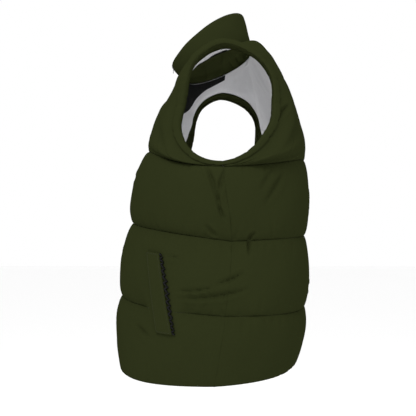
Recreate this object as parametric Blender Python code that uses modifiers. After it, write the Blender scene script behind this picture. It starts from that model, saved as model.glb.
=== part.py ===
"""Quilted puffer vest, worn shape with no wearer inside it.

The cloth is one form with two ways to walk over it. A row runs round the body
from the centre line (u = 0) to the side seam or the armhole (u = 1). A level
climbs the body: 0 at the hem, 1, 2 and 3 at the quilting lines, 4 at the
shoulder seam. Each panel is the wall between that form, which is its inner
face, and the same form moved out by the filling.

Metres, +Z up, the front faces -Y and the wearer's left is +X. The origin is
midway between the neck ends of the two shoulder seams, where the wearer's
shoulders carry the vest.
"""

from collections import namedtuple
from math import asin, cos, pi, radians, sin, sqrt

import bmesh
import bpy
from mathutils import Vector

# ---- driving sizes -------------------------------------------------------

GAP = 0.0003             # between pieces that a seam joins
SEAM_Y = 0.0002          # half the gap at the side and shoulder seams
ZIP_HALF = 0.0072        # centre line to the front edge beside the zip

Ring = namedtuple("Ring", "level front_y front_z side_x side_y side_z back_y back_z")
RINGS = (                # the inner face at the hem and at each quilting line
    Ring(0, -0.186, -0.585, 0.207, -0.024, -0.583, 0.122, -0.564),
    Ring(1, -0.190, -0.452, 0.222, -0.006, -0.470, 0.139, -0.470),
    Ring(2, -0.171, -0.319, 0.218, 0.004, -0.353, 0.139, -0.342),
    Ring(3, -0.141, -0.187, 0.224, -0.010, -0.241, 0.141, -0.203),
)

NECK_HALF_X = 0.085      # neck seam: half width, ends on the centre line, lift
NECK_FRONT_Y = -0.082
NECK_BACK_Y = 0.052
NECK_RISE = 0.400        # z = rise * y - sag * y * y, so z is 0 at the shoulder
NECK_SAG = 0.300
NECK_LEVEL = 3.57        # where the front and back rows leave the centre line

Hole = namedtuple("Hole", "x y z lean roll")
ARMHOLE = (              # middle and radius of the rolled edge, from underarm to front to back
    Hole(0.234, -0.011, -0.232, 0.00, 0.0045),
    Hole(0.2215, -0.056, -0.218, 0.30, 0.0050),
    Hole(0.1945, -0.082, -0.1735, 0.60, 0.0060),
    Hole(0.184, -0.076, -0.122, 0.76, 0.0070),
    Hole(0.187, -0.067, -0.078, 0.85, 0.0075),
    Hole(0.192, -0.048, -0.047, 0.90, 0.0075),
    Hole(0.195, -0.006, -0.027, 0.94, 0.0075),
    Hole(0.191, 0.044, -0.046, 0.92, 0.0075),
    Hole(0.188, 0.071, -0.080, 0.84, 0.0075),
    Hole(0.191, 0.076, -0.124, 0.72, 0.0070),
    Hole(0.203, 0.070, -0.1655, 0.55, 0.0060),
    Hole(0.226, 0.035, -0.213, 0.28, 0.0050),
)
ARMHOLE_MIDDLE = (-0.004, -0.130)     # y, z
ARMHOLE_TOP = 6                       # station on the shoulder seam
EDGE_TO_ROLL = 1.73                   # thickness of the panel's edge to the roll's radius
ROLL_GAP = 0.0007                     # to the panel, whose faceted edge it follows

Row = namedtuple("Row", "level reach_in turn_in fall_in reach_out")
FRONT_ROWS = (           # how a front row leaves the centre and reaches its outer end
    Row(0, 0.150, 0, 0, 0.120),
    Row(3, 0.140, 0, 0, 0.095),
    Row(3.3, 0.100, 4, 6, 0.035),
    Row(NECK_LEVEL, 0.055, 6, 26, 0.012),
    Row(4, 0.030, 0, 12, 0.030),
)
BACK_ROWS = (
    Row(0, 0.150, 0, 0, 0.105),
    Row(3, 0.150, 0, 0, 0.105),
    Row(3.3, 0.115, 0, 0, 0.055),
    Row(NECK_LEVEL, 0.070, -2, 8, 0.040),
    Row(4, 0.030, 0, 12, 0.030),
)
NORMAL_LEVEL = 3.4       # rows crowd below this at the underarm, so normals are blended
DIP_POWER = 1.2          # how late a quilting line drops from the middle to the side
SETTLE_LEVELS = 0.06     # the corner of the side seam turns into the armhole over these,
TURN_LEVELS = 0.32       # the rows' outer ends turn from the side seam's way over these,
FREE_LEVELS = 0.5        # and the rows leave the level of a quilting line over these
FRONT_BOW = -0.004       # the centre line's swell between the top quilting line and the neck
BACK_BOW = 0.008

LINE_THICK = 0.0045      # two layers and the squeezed filling, at a quilting line
FRONT_CREST = (0.017, 0.017, 0.021, 0.018)    # filling in each channel, hem channel first
BACK_CREST = (0.014, 0.014, 0.015, 0.023)
HEM_THICK = 0.008
SHOULDER_THICK = 0.010
CENTRE_THICK = 0.008     # beside the zip, easing out over CENTRE_EASE
CENTRE_EASE = 0.030
NECK_THICK = 0.007
EDGE_EASE = 0.045        # the panel eases to the thickness of its armhole edge over this
SIDE_EASE = 0.30         # share of a row in which front and back come to one thickness
YOKE_CREST_AT = 0.36     # share of the yoke's height at which it is fullest
YOKE_FULL_HEIGHT = 0.16  # a yoke lower than this is less full, down to YOKE_LEAST
YOKE_LEAST = 0.2

LINING_THICK = 0.0010
LINING_GAP = 0.0009      # behind the padding, which it hangs free of
UNDERARM_SLACK = 0.0025  # how much freer the lining hangs beside the armhole's foot
SLACK_LEVEL = 3.12
SLACK_REACH = 0.25
LINING_HEM_ROW = 1       # the lining starts this many rows above the hem
FACING_THICK = 0.0008
REST_OFF = 0.0009        # a flat sewn-on piece to the faceted cloth below it
NECK_FACING_LEVEL = 3.28 # the neck facing's lowest row and its share of each row
NECK_FACING_REACH = 0.48
ARMHOLE_FACING_WIDTH = 0.018
WELD = 0.00001           # joins the two ends of a facing's ring

COLLAR_HEIGHTS = (0, 0.25, 0.6, 0.92, 1)                  # from seam to top
COLLAR_THICK = (0.0050, 0.0085, 0.0090, 0.0085, 0.0040)
COLLAR_TUCK = 0.0015     # how far the top edge turns in
NECK_GAP = 0.0008        # the collar's foot to the faceted neck edge
COLLAR_TOP_HALF_X = 0.073
COLLAR_TOP_FRONT = (-0.108, -0.008)   # y, z
COLLAR_TOP_BACK = (0.036, 0.092)
COLLAR_CROWN = 0.009     # how far the top edge rises above a flat cut at the sides

Pocket = namedtuple("Pocket", "u level")
POCKET_TOP = Pocket(0.620, 1.71)
POCKET_FOOT = Pocket(0.765, 0.71)
POCKET_FLAT = 0.016      # filling under the welt, which bridges the quilting line
POCKET_EASE = 0.030
POCKET_MARGIN = 0.004    # how far the flat reaches past the welt before it eases away
LEVEL_HEIGHT = 0.135     # metres of cloth to a level, beside the pocket
WELT_WIDTH = 0.030
WELT_THICK = 0.0030
WELT_COLUMNS = 4
WELT_OFF = 0.0015        # the welt and the pocket zip to the faceted panel they lie on
POCKET_ZIP_WIDTH = 0.0055
POCKET_ZIP_THICK = 0.0016

ZIP_OUT = 0.0042         # the zip's middle plane, out from the inner face
CHAIN_HALF = 0.0026
CHAIN_THICK = 0.0030
TAPE_THICK = 0.0010
SLIDER_HEIGHT = 0.88     # share of the collar's height at the slider's middle
SLIDER_LENGTH = 0.0100
SLIDER_HALF_WIDTH = 0.0043
SLIDER_WEB = 0.0022      # half the width of the core between the tapes
SLIDER_SLOT = 0.0010     # half the slot that the tapes run in
SLIDER_HALF_DEPTH = 0.0026
BAIL_HALF_WIDTH = 0.0008
BAIL_HALF_LENGTH = 0.0030
BAIL_EYE = 0.0019        # half the length, and the height, of the bail's inside
BAIL_BAR = 0.0009
PULL_LENGTH = 0.0110
PULL_HALF_WIDTH = 0.0032
PULL_THICK = 0.0010
PULL_BAR = 0.0011        # cross bar that turns inside the bail
PULL_CORNER = (0.0008, 0.0012)        # cut off across and along
PULL_EYE_HALF = 0.0019
PULL_EYE_LENGTH = 0.0040

SPLIT_BIAS = 1.02        # keeps even fours of neighbouring sheets split alike
COLUMNS = (0, 0.06, 0.18, 0.33, 0.48, 0.63, 0.78, 0.9, 1)
CHANNEL_STEPS = (0, 0.1, 0.35, 0.65, 0.9)
YOKE_STEPS = (0, 0.05, 0.15, 0.28, 0.42, 0.57, 0.67, 0.78, 0.89, 1)
LEVELS = [channel + s for channel in range(3) for s in CHANNEL_STEPS]
LEVELS += [3 + s for s in YOKE_STEPS]
COLLAR_ZIP_HEIGHTS = (0.22, 0.45, 0.7, 1)
COLLAR_ZIP_POINTS = len(COLLAR_ZIP_HEIGHTS)

SHELL = ("olive polyester shell", (0.030, 0.035, 0.012), 0.60, 0.0)
LINING = ("pale grey lining", (0.55, 0.55, 0.55), 0.70, 0.0)
BLACK_CLOTH = ("black cloth trim", (0.012, 0.012, 0.013), 0.80, 0.0)
BLACK_PLASTIC = ("black moulded teeth", (0.015, 0.015, 0.016), 0.45, 0.0)
GREY_METAL = ("gunmetal zinc", (0.35, 0.35, 0.36), 0.35, 1.0)


# ---- curves --------------------------------------------------------------

def smooth(t):
    """Ease from 0 to 1."""
    t = min(max(t, 0.0), 1.0)
    return t * t * (3 - 2 * t)


def catmull(p0, p1, p2, p3, t):
    """Catmull-Rom between p1 and p2, for numbers or vectors."""
    return 0.5 * (2 * p1 + (p2 - p0) * t + (2 * p0 - 5 * p1 + 4 * p2 - p3) * t * t
                  + (3 * p1 - p0 - 3 * p2 + p3) * t ** 3)


def table_value(rows, column, level):
    """A column of a table of rows, read smoothly at any level."""
    keys = [row.level for row in rows]
    values = [getattr(row, column) for row in rows]
    level = min(max(level, keys[0]), keys[-1])
    i = max(k for k in range(len(keys) - 1) if keys[k] <= level)
    t = (level - keys[i]) / (keys[i + 1] - keys[i])
    before = values[i - 1] if i else 2 * values[0] - values[1]
    after = values[i + 2] if i + 2 < len(values) else 2 * values[-1] - values[-2]
    return catmull(before, values[i], values[i + 1], after, t)


def table_line(rows, column, level):
    """A column of a table of rows, read in straight lines between the rows."""
    level = min(max(level, rows[0].level), rows[-1].level)
    for low, high in zip(rows, rows[1:]):
        if level <= high.level:
            t = (level - low.level) / (high.level - low.level)
            return getattr(low, column) * (1 - t) + getattr(high, column) * t
    return getattr(rows[-1], column)


def neck_point(angle):
    """The neck seam: angle 0 at the front centre, pi at the back centre."""
    middle = (NECK_FRONT_Y + NECK_BACK_Y) / 2
    y = middle - (NECK_BACK_Y - NECK_FRONT_Y) / 2 * cos(angle)
    return Vector((NECK_HALF_X * sin(angle), y, NECK_RISE * y - NECK_SAG * y * y))


NECK_START = asin(ZIP_HALF / NECK_HALF_X)
NECK_SHOULDER = pi - asin(sqrt(1 - ((NECK_FRONT_Y + NECK_BACK_Y)
                                    / (NECK_BACK_Y - NECK_FRONT_Y)) ** 2))


def armhole_point(station):
    """(middle of the rolled edge, direction to the cloth, its outward normal, its radius)."""
    count = len(ARMHOLE)
    i = int(station // 1)
    t = station - i
    near = [ARMHOLE[(i + k) % count] for k in (-1, 0, 1, 2)]
    middle = catmull(*[Vector(hole[:3]) for hole in near], t)
    ahead = catmull(*[Vector(hole[:3]) for hole in near], t + 0.01)
    lean = catmull(*[hole.lean for hole in near], t)
    roll = catmull(*[hole.roll for hole in near], t)
    side = Vector((0, middle.y - ARMHOLE_MIDDLE[0], middle.z - ARMHOLE_MIDDLE[1])).normalized()
    tangent = (ahead - middle).normalized()
    into = side * sqrt(max(0.0, 1 - lean * lean)) - Vector((lean, 0, 0))
    into = (into - tangent * into.dot(tangent)).normalized()
    return middle, into, tangent.cross(into).normalized(), roll


# ---- the form ------------------------------------------------------------

def is_front(side):
    return side == "front"


def inner_end(side, level):
    """Where a row starts: on the centre line, or on the neck seam above it."""
    seam = NECK_START if is_front(side) else pi
    if level > NECK_LEVEL:
        share = (level - NECK_LEVEL) / (4 - NECK_LEVEL)
        return neck_point(seam + (NECK_SHOULDER - seam) * share)
    x = ZIP_HALF if is_front(side) else 0.0
    if level <= 3:
        y, z = (table_value(RINGS, f"{side}_{axis}", level) for axis in "yz")
        return Vector((x, y, z))
    top = neck_point(seam)
    share = (level - 3) / (NECK_LEVEL - 3)
    foot = Vector((x, getattr(RINGS[3], f"{side}_y"), getattr(RINGS[3], f"{side}_z")))
    bow = Vector((0, FRONT_BOW if is_front(side) else BACK_BOW, 0)) * sin(pi * share)
    return foot.lerp(top, share) + bow


def armhole_station(side, level):
    """Where a row above the underarm meets the armhole."""
    turns = ARMHOLE_TOP * (level - 3)
    return turns if is_front(side) else (len(ARMHOLE) - turns) % len(ARMHOLE)


def outer_end(side, level):
    """(end of a row, the way back into the cloth): side seam, then armhole."""
    along = Vector((0, -1 if is_front(side) else 1, 0))
    if level <= 3:
        point = Vector([table_value(RINGS, f"side_{axis}", level) for axis in "xyz"])
        return point, along
    middle, into, out, roll = armhole_point(armhole_station(side, level))
    edge = middle + into * (roll + ROLL_GAP) - out * EDGE_TO_ROLL * roll / 2
    share = smooth((level - 3) / TURN_LEVELS)
    foot = Vector((RINGS[3].side_x, RINGS[3].side_y, RINGS[3].side_z))
    settle = smooth((level - 3) / SETTLE_LEVELS)
    return foot.lerp(edge, settle), along.lerp(into, share).normalized()


def base_point(side, u, level):
    """The inner face of the cloth, as a row's Bezier curve seen from above."""
    start = inner_end(side, level)
    end, back = outer_end(side, level)
    rows = FRONT_ROWS if is_front(side) else BACK_ROWS
    reach_in = table_line(rows, "reach_in", level)
    reach_out = table_line(rows, "reach_out", level)
    turn = radians(table_line(rows, "turn_in", level))
    fall = radians(table_line(rows, "fall_in", level))
    handle_in = start + Vector((cos(turn), sin(turn), -sin(fall))).normalized() * reach_in
    handle_out = end + back * reach_out
    v = 1 - u
    point = (start * v ** 3 + handle_in * 3 * v * v * u
             + handle_out * 3 * v * u * u + end * u ** 3)
    late = u ** DIP_POWER
    late += (smooth(u) - late) * smooth(level - 2)
    dip = start.z + (end.z - start.z) * late
    point.z = dip + (point.z - dip) * smooth((level - 3) / FREE_LEVELS)
    return point


def on_shared_seam(u, level):
    """True on the side seam and the shoulder seam."""
    return level > 3.999 or (u > 0.999 and level < 3.001)


def base_normal(side, u, level):
    """Outward normal of the form, shared by the two panels at their seams."""
    if on_shared_seam(u, level):
        return (panel_normal("front", u, level) + panel_normal("back", u, level)).normalized()
    normal = panel_normal(side, u, max(level, NORMAL_LEVEL) if level > 3 else level)
    if level > 3:
        slid = min(u * row_length(side, level) / row_length(side, 3), 1)
        share = smooth((level - 3) / (NORMAL_LEVEL - 3))
        normal = panel_normal(side, slid, 3).lerp(normal, share)
        near_edge = 1 - smooth((1 - u) * row_length(side, level) / EDGE_EASE)
        normal = normal.lerp(armhole_point(armhole_station(side, level))[2], near_edge)
        normal.normalize()
    if u < 0.001 and level <= NECK_LEVEL:
        normal.x = 0
        normal.normalize()
    return normal


def panel_normal(side, u, level):
    """Normal from the panel's own rows and levels."""
    step = 0.02
    u0, u1 = max(u - step, 0), min(u + step, 1)
    l0, l1 = max(level - step, 0), min(level + step, 4)
    if level <= 3:
        l1 = min(l1, 3)
    across = base_point(side, u1, level) - base_point(side, u0, level)
    climb = base_point(side, u, l1) - base_point(side, u, l0)
    normal = across.cross(climb)
    return normal.normalized() if is_front(side) else -normal.normalized()


def row_length(side, level):
    """Rough length of a row, for widths given in metres."""
    points = [base_point(side, k / 6, level) for k in range(7)]
    return sum((b - a).length for a, b in zip(points, points[1:]))


def pillow(share):
    """Cross-section of a filled channel between two quilting lines."""
    return sqrt(max(0.0, 1 - (2 * share - 1) ** 2))


def filling(side, u, level):
    """Thickness of the padded wall."""
    channel = min(int(level), 3)
    share = level - channel
    crest = (FRONT_CREST if is_front(side) else BACK_CREST)[channel]
    if channel < 3:
        shared = (FRONT_CREST[channel] + BACK_CREST[channel]) / 2
        crest += (shared - crest) * smooth(1 - (1 - u) / SIDE_EASE)
    if channel == 3:
        rise = min(share / YOKE_CREST_AT, 1)
        puff = LINE_THICK + (crest - LINE_THICK) * sqrt(1 - (1 - rise) ** 2)
        ease = smooth((share - YOKE_CREST_AT) / (1 - YOKE_CREST_AT))
        puff += (SHOULDER_THICK - crest) * ease
        height = (base_point(side, u, 4) - base_point(side, u, 3)).length
        puff = LINE_THICK + (puff - LINE_THICK) * smooth(height / YOKE_FULL_HEIGHT + YOKE_LEAST)
    else:
        low = HEM_THICK if channel == 0 else LINE_THICK
        floor = low + (LINE_THICK - low) * share
        puff = floor + (crest - floor) * pillow(share)
    length = row_length(side, level)
    if level > 3:
        near_edge = 1 - smooth((1 - u) * length / EDGE_EASE)
        settle = smooth((level - 3) / SETTLE_LEVELS)
        edge = EDGE_TO_ROLL * armhole_point(armhole_station(side, level))[3]
        puff += (edge - puff) * near_edge * settle
    if is_front(side) and level <= NECK_LEVEL:
        near_zip = 1 - sqrt(1 - (1 - min(u * length / CENTRE_EASE, 1)) ** 2)
        puff += (min(CENTRE_THICK, puff) - puff) * near_zip
    if level > NECK_LEVEL:
        near_neck = 1 - smooth(u * length / CENTRE_EASE)
        puff += (NECK_THICK - puff) * near_neck
    if is_front(side):
        puff += (POCKET_FLAT - puff) * pocket_share(u, level, length)
    return puff


def pocket_share(u, level, length):
    """1 under the pocket, easing to 0 around it."""
    drop = (POCKET_TOP.level - level) / (POCKET_TOP.level - POCKET_FOOT.level)
    slit = POCKET_TOP.u + (POCKET_FOOT.u - POCKET_TOP.u) * min(max(drop, 0), 1)
    middle = slit - WELT_WIDTH / 2 / length
    aside = abs(u - middle) * length - WELT_WIDTH / 2 - POCKET_MARGIN
    beyond = max(drop - 1, -drop, 0) * LEVEL_HEIGHT
    return 1 - smooth(max(aside, beyond, 0) / POCKET_EASE)


def outer_point(side, u, level):
    return base_point(side, u, level) + base_normal(side, u, level) * filling(side, u, level)


def seam_shift(side, u, level):
    """The small step back from the side and shoulder seams."""
    if on_shared_seam(u, level):
        return Vector((0, -SEAM_Y if is_front(side) else SEAM_Y, 0))
    return Vector()


def form_grid(side, out, levels=LEVELS, columns=COLUMNS):
    """Points of the form, moved out by out(side, u, level)."""
    return [[base_point(side, u, level) + base_normal(side, u, level) * out(side, u, level)
             + seam_shift(side, u, level) for u in columns] for level in levels]


# ---- Blender helpers -----------------------------------------------------

def start_scene():
    for obj in list(bpy.data.objects):
        bpy.data.objects.remove(obj)
    names = ("puffer vest", "guides")
    made = [bpy.data.collections.new(name) for name in names]
    for collection in made:
        bpy.context.scene.collection.children.link(collection)
    return made


def material_of(spec):
    name, colour, roughness, metallic = spec
    material = bpy.data.materials.get(name)
    if material is None:
        material = bpy.data.materials.new(name)
        material.use_nodes = True
        shader = material.node_tree.nodes["Principled BSDF"]
        shader.inputs["Base Color"].default_value = (*colour, 1)
        shader.inputs["Roughness"].default_value = roughness
        shader.inputs["Metallic"].default_value = metallic
    return material


def add_object(name, mesh, spec):
    obj = bpy.data.objects.new(name, mesh)
    mesh.materials.append(material_of(spec))
    VEST.objects.link(obj)
    return obj


def mesh_from(name, bm, smooth_angle=40):
    bmesh.ops.recalc_face_normals(bm, faces=bm.faces)
    mesh = bpy.data.meshes.new(name)
    bm.to_mesh(mesh)
    bm.free()
    mesh.shade_smooth()
    mesh.set_sharp_from_angle(angle=radians(smooth_angle))
    return mesh


def add_grid(bm, grid):
    """A lofted surface through rows of points, each four split across its shorter way."""
    verts = [[bm.verts.new(point) for point in row] for row in grid]
    for low, high in zip(verts, verts[1:]):
        for a, b, c, d in zip(low, low[1:], high[1:], high):
            if (a.co - c.co).length < (b.co - d.co).length * SPLIT_BIAS:
                corners = ((a, b, c), (a, c, d))
            else:
                corners = ((a, b, d), (b, c, d))
            for corner in corners:
                bm.faces.new(corner)
    return verts


def flip_x(grid):
    return [[Vector((-p.x, p.y, p.z)) for p in row] for row in grid]


def wall(name, outer, inner, spec, half=False):
    """A closed wall between two lofted surfaces. With half, it stays open where its
    first column lies on the centre plane, and a Mirror makes the other side."""
    bm = bmesh.new()
    faces = [add_grid(bm, outer), add_grid(bm, inner)]
    on_plane = sum(abs(row[0].x) < 1e-6 for row in outer) if half else 1
    rims = [[grid[0] for grid in faces], [grid[-1] for grid in faces],
            [[row[-1] for row in grid] for grid in faces],
            [[row[0] for row in grid[on_plane - 1:]] for grid in faces]]
    for first, second in rims:
        for a, b, c, d in zip(first, first[1:], second[1:], second):
            bm.faces.new((a, b, c, d))
    obj = add_object(name, mesh_from(name, bm), spec)
    if half:
        mirror = obj.modifiers.new("other side", "MIRROR")
        mirror.merge_threshold = 0.0001
    return obj


def sheet(name, grid, thickness, spec, half=False):
    """A thin lofted sheet, thickened evenly about its points."""
    bm = bmesh.new()
    add_grid(bm, grid)
    obj = add_object(name, mesh_from(name, bm), spec)
    if half:
        mirror = obj.modifiers.new("other side", "MIRROR")
        mirror.merge_threshold = 0.0001
    solid = obj.modifiers.new("cloth thickness", "SOLIDIFY")
    solid.thickness = thickness
    solid.offset = 0
    return obj


# ---- panels and lining ---------------------------------------------------

def lining_depth(side, u, level):
    """How far the middle of the lining lies out from the form, so below zero."""
    near = smooth(1 - abs(level - SLACK_LEVEL) / SLACK_REACH) * smooth(2 * u)
    return -LINING_GAP - LINING_THICK / 2 - UNDERARM_SLACK * near


def facing_depth(side, u, level):
    """How far the middle of a facing lies out from the form, behind the lining."""
    return lining_depth(side, u, level) - (LINING_THICK + FACING_THICK) / 2 - REST_OFF


def make_panels():
    """The padded front and back panels and the lining behind them."""
    for side in ("front", "back"):
        outer = form_grid(side, filling)
        inner = form_grid(side, lambda *place: 0)
        behind = form_grid(side, lining_depth, LEVELS[LINING_HEM_ROW:])
        if side == "back":
            wall("back", outer, inner, SHELL, half=True)
            sheet("lining_back", behind, LINING_THICK, LINING, half=True)
            continue
        for hand, place in (("left", lambda grid: grid), ("right", flip_x)):
            wall(f"front_{hand}", place(outer), place(inner), SHELL)
            sheet(f"lining_front_{hand}", place(behind), LINING_THICK, LINING)


# ---- collar --------------------------------------------------------------

def collar_point(angle, height, out):
    """The collar's outer face moved in by -out, height 0 at the seam and 1 at the top."""
    foot = neck_point(angle)
    foot.x -= NECK_GAP * sin(angle)
    foot.y += NECK_GAP * cos(angle)
    middle_y = (COLLAR_TOP_FRONT[0] + COLLAR_TOP_BACK[0]) / 2
    y = middle_y - (COLLAR_TOP_BACK[0] - COLLAR_TOP_FRONT[0]) / 2 * cos(angle)
    share = (y - COLLAR_TOP_FRONT[0]) / (COLLAR_TOP_BACK[0] - COLLAR_TOP_FRONT[0])
    z = COLLAR_TOP_FRONT[1] + (COLLAR_TOP_BACK[1] - COLLAR_TOP_FRONT[1]) * share
    top = Vector((COLLAR_TOP_HALF_X * sin(angle), y, z + COLLAR_CROWN * sin(angle) ** 2))
    out_way = Vector((sin(angle), -cos(angle), 0))
    lean = (top - foot).normalized()
    out_way = (out_way - lean * out_way.dot(lean)).normalized()
    return foot.lerp(top, height) + out_way * out


def collar_start(height):
    """The angle at which the collar's front edge stands beside the zip."""
    half = NECK_HALF_X + (COLLAR_TOP_HALF_X - NECK_HALF_X) * height
    return asin(ZIP_HALF / half)


def collar_angles(height):
    """From the back centre to the zip, with a column at each row of the panels."""
    shares = [(level - NECK_LEVEL) / (4 - NECK_LEVEL) for level in LEVELS if level >= NECK_LEVEL]
    back = [pi + (NECK_SHOULDER - pi) * share for share in shares]
    start = collar_start(height)
    front = [start + (NECK_SHOULDER - start) * share for share in shares]
    return back + front[-2::-1]


def make_collar():
    outer, inner = [], []
    for height, thick in zip(COLLAR_HEIGHTS, COLLAR_THICK):
        angles = collar_angles(height)
        tuck = -COLLAR_TUCK if height == 1 else 0
        outer.append([collar_point(angle, height, tuck) for angle in angles])
        inner.append([collar_point(angle, height, tuck - thick) for angle in angles])
    for row in outer + inner:
        row[0].x = 0
        row[-1].x = ZIP_HALF
    wall("collar", outer, inner, SHELL, half=True)


def make_neck_facings():
    """The black facing inside the front neckline, from the zip to the shoulder."""
    levels = [level for level in LEVELS if level >= NECK_FACING_LEVEL]
    columns = [u for u in COLUMNS if u <= NECK_FACING_REACH]
    grid = form_grid("front", facing_depth, levels, columns)
    for hand, place in (("left", lambda points: points), ("right", flip_x)):
        sheet(f"neck_facing_{hand}", place(grid), FACING_THICK, BLACK_CLOTH)


# ---- armholes, pockets ---------------------------------------------------

def closed_tube(name, points, radii, spec):
    curve = bpy.data.curves.new(name, "CURVE")
    curve.dimensions = "3D"
    curve.bevel_depth = radii[0]
    curve.bevel_resolution = 2
    spline = curve.splines.new("POLY")
    spline.points.add(len(points) - 1)
    for target, point, radius in zip(spline.points, points, radii):
        target.co = (*point, 1)
        target.radius = radius / radii[0]
    spline.use_cyclic_u = True
    curve.materials.append(material_of(spec))
    obj = bpy.data.objects.new(name, curve)
    VEST.objects.link(obj)
    return obj


def make_armhole_edges():
    """The rolled edge of each armhole, with a point at each row of the panels."""
    steps = [ARMHOLE_TOP * (level - 3) for level in LEVELS if level >= 3]
    stations = steps + [len(ARMHOLE) - step for step in steps[-2:0:-1]]
    places = [armhole_point(station % len(ARMHOLE)) for station in stations]
    path = [place[0] for place in places]
    radii = [place[3] for place in places]
    for hand, points in (("left", path), ("right", flip_x([path])[0])):
        closed_tube(f"armhole_edge_{hand}", points, radii, SHELL)


def make_armhole_facings():
    """The shell cloth turned in flat over the lining round each armhole."""
    grid = []
    for side in ("front", "back"):
        levels = [level for level in LEVELS if level > 3]
        levels = levels if is_front(side) else levels[-2::-1]
        for level in levels:
            edge, near, far = form_grid(side, facing_depth, [level], COLUMNS[:-4:-1])[0]
            width = ARMHOLE_FACING_WIDTH - (near - edge).length
            if width > 0:
                grid.append([edge, near, near + (far - near).normalized() * width])
            else:
                end = edge + (near - edge).normalized() * ARMHOLE_FACING_WIDTH
                grid.append([edge, edge.lerp(end, 0.5), end])
    grid.append(grid[0])
    for hand, place in (("left", lambda points: points), ("right", flip_x)):
        bm = bmesh.new()
        add_grid(bm, place(grid))
        bmesh.ops.remove_doubles(bm, verts=bm.verts, dist=WELD)
        name = f"armhole_facing_{hand}"
        obj = add_object(name, mesh_from(name, bm), SHELL)
        solid = obj.modifiers.new("cloth thickness", "SOLIDIFY")
        solid.thickness = FACING_THICK
        solid.offset = 0


def pocket_strip(name, panel, near, far, spec, thickness, hand):
    """A strip beside the pocket slit, from near to far metres towards the zip,
    laid on the front panel."""
    grid = []
    inside = [level for level in LEVELS if POCKET_FOOT.level < level < POCKET_TOP.level]
    halves = [(a + b) / 2 for a, b in zip(inside, inside[1:])]
    for level in sorted([POCKET_FOOT.level, *inside, *halves, POCKET_TOP.level]):
        share = (POCKET_TOP.level - level) / (POCKET_TOP.level - POCKET_FOOT.level)
        u = POCKET_TOP.u + (POCKET_FOOT.u - POCKET_TOP.u) * share
        length = row_length("front", level)
        across = [u - (near + (far - near) * c / WELT_COLUMNS) / length
                  for c in range(WELT_COLUMNS + 1)]
        grid.append([outer_point("front", place, level) for place in across])
    if hand == "right":
        grid = flip_x(grid)
    bm = bmesh.new()
    add_grid(bm, grid)
    obj = add_object(name, mesh_from(name, bm), spec)
    lay = obj.modifiers.new("lie on the panel", "SHRINKWRAP")
    lay.target = panel
    lay.wrap_mode = "OUTSIDE_SURFACE"
    lay.offset = WELT_OFF + thickness / 2
    solid = obj.modifiers.new("cloth thickness", "SOLIDIFY")
    solid.thickness = thickness
    solid.offset = 0
    return obj


def make_pockets():
    for hand in ("left", "right"):
        panel = bpy.data.objects[f"front_{hand}"]
        pocket_strip(f"pocket_welt_{hand}", panel, GAP, WELT_WIDTH, SHELL, WELT_THICK, hand)
        pocket_strip(f"pocket_zip_{hand}", panel, -POCKET_ZIP_WIDTH, -GAP,
                     BLACK_PLASTIC, POCKET_ZIP_THICK, hand)


# ---- front zip -----------------------------------------------------------

def zip_path():
    """(point, outward direction) up the front centre, from hem to collar top."""
    points = [inner_end("front", level) for level in LEVELS if level <= NECK_LEVEL]
    points += [collar_point(collar_start(h), h, -0.5 * COLLAR_THICK[2] - ZIP_OUT)
               for h in COLLAR_ZIP_HEIGHTS]
    points = [Vector((0, p.y, p.z)) for p in points]
    path = []
    for k, point in enumerate(points):
        ahead = points[min(k + 1, len(points) - 1)] - points[max(k - 1, 0)]
        out = Vector((0, -ahead.z, ahead.y)).normalized()
        path.append((point + out * ZIP_OUT, out))
    return path


def ribbon(name, path, low_x, high_x, thickness, spec):
    grid = [[point + Vector((x, 0, 0)) for x in (low_x, high_x)] for point, _ in path]
    return sheet(name, grid, thickness, spec)


def make_zip():
    path = zip_path()
    stop, along, _ = slider_place()
    foot = stop - along * (SLIDER_LENGTH / 2 + GAP)
    below = [place for place in path if (place[0] - foot).dot(along) < -GAP]
    below.append((foot, path[-1][1]))
    ribbon("zip_chain", below, -CHAIN_HALF, CHAIN_HALF, CHAIN_THICK, BLACK_PLASTIC)
    for hand, sign in (("left", 1), ("right", -1)):
        ends = sorted((sign * (CHAIN_HALF + GAP), sign * (ZIP_HALF - GAP)))
        ribbon(f"zip_tape_{hand}", path, *ends, TAPE_THICK, BLACK_CLOTH)


def slider_place():
    """(middle of the slider, up along the zip, outward)."""
    path = zip_path()
    foot, top = path[-COLLAR_ZIP_POINTS][0], path[-1][0]
    along = (top - foot).normalized()
    out = Vector((0, -along.z, along.y))
    first, last = COLLAR_ZIP_HEIGHTS[0], COLLAR_ZIP_HEIGHTS[-1]
    return foot.lerp(top, (SLIDER_HEIGHT - first) / (last - first)), along, out


def prism(name, outline, way, length, spec):
    """An outline pushed out by length along way, half to each side."""
    bm = bmesh.new()
    half = way * length / 2
    face = bm.faces.new([bm.verts.new(point - half) for point in outline])
    pushed = bmesh.ops.extrude_face_region(bm, geom=[face])["geom"]
    moved = [item for item in pushed if isinstance(item, bmesh.types.BMVert)]
    bmesh.ops.translate(bm, verts=moved, vec=half * 2)
    return add_object(name, mesh_from(name, bm), spec)


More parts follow.
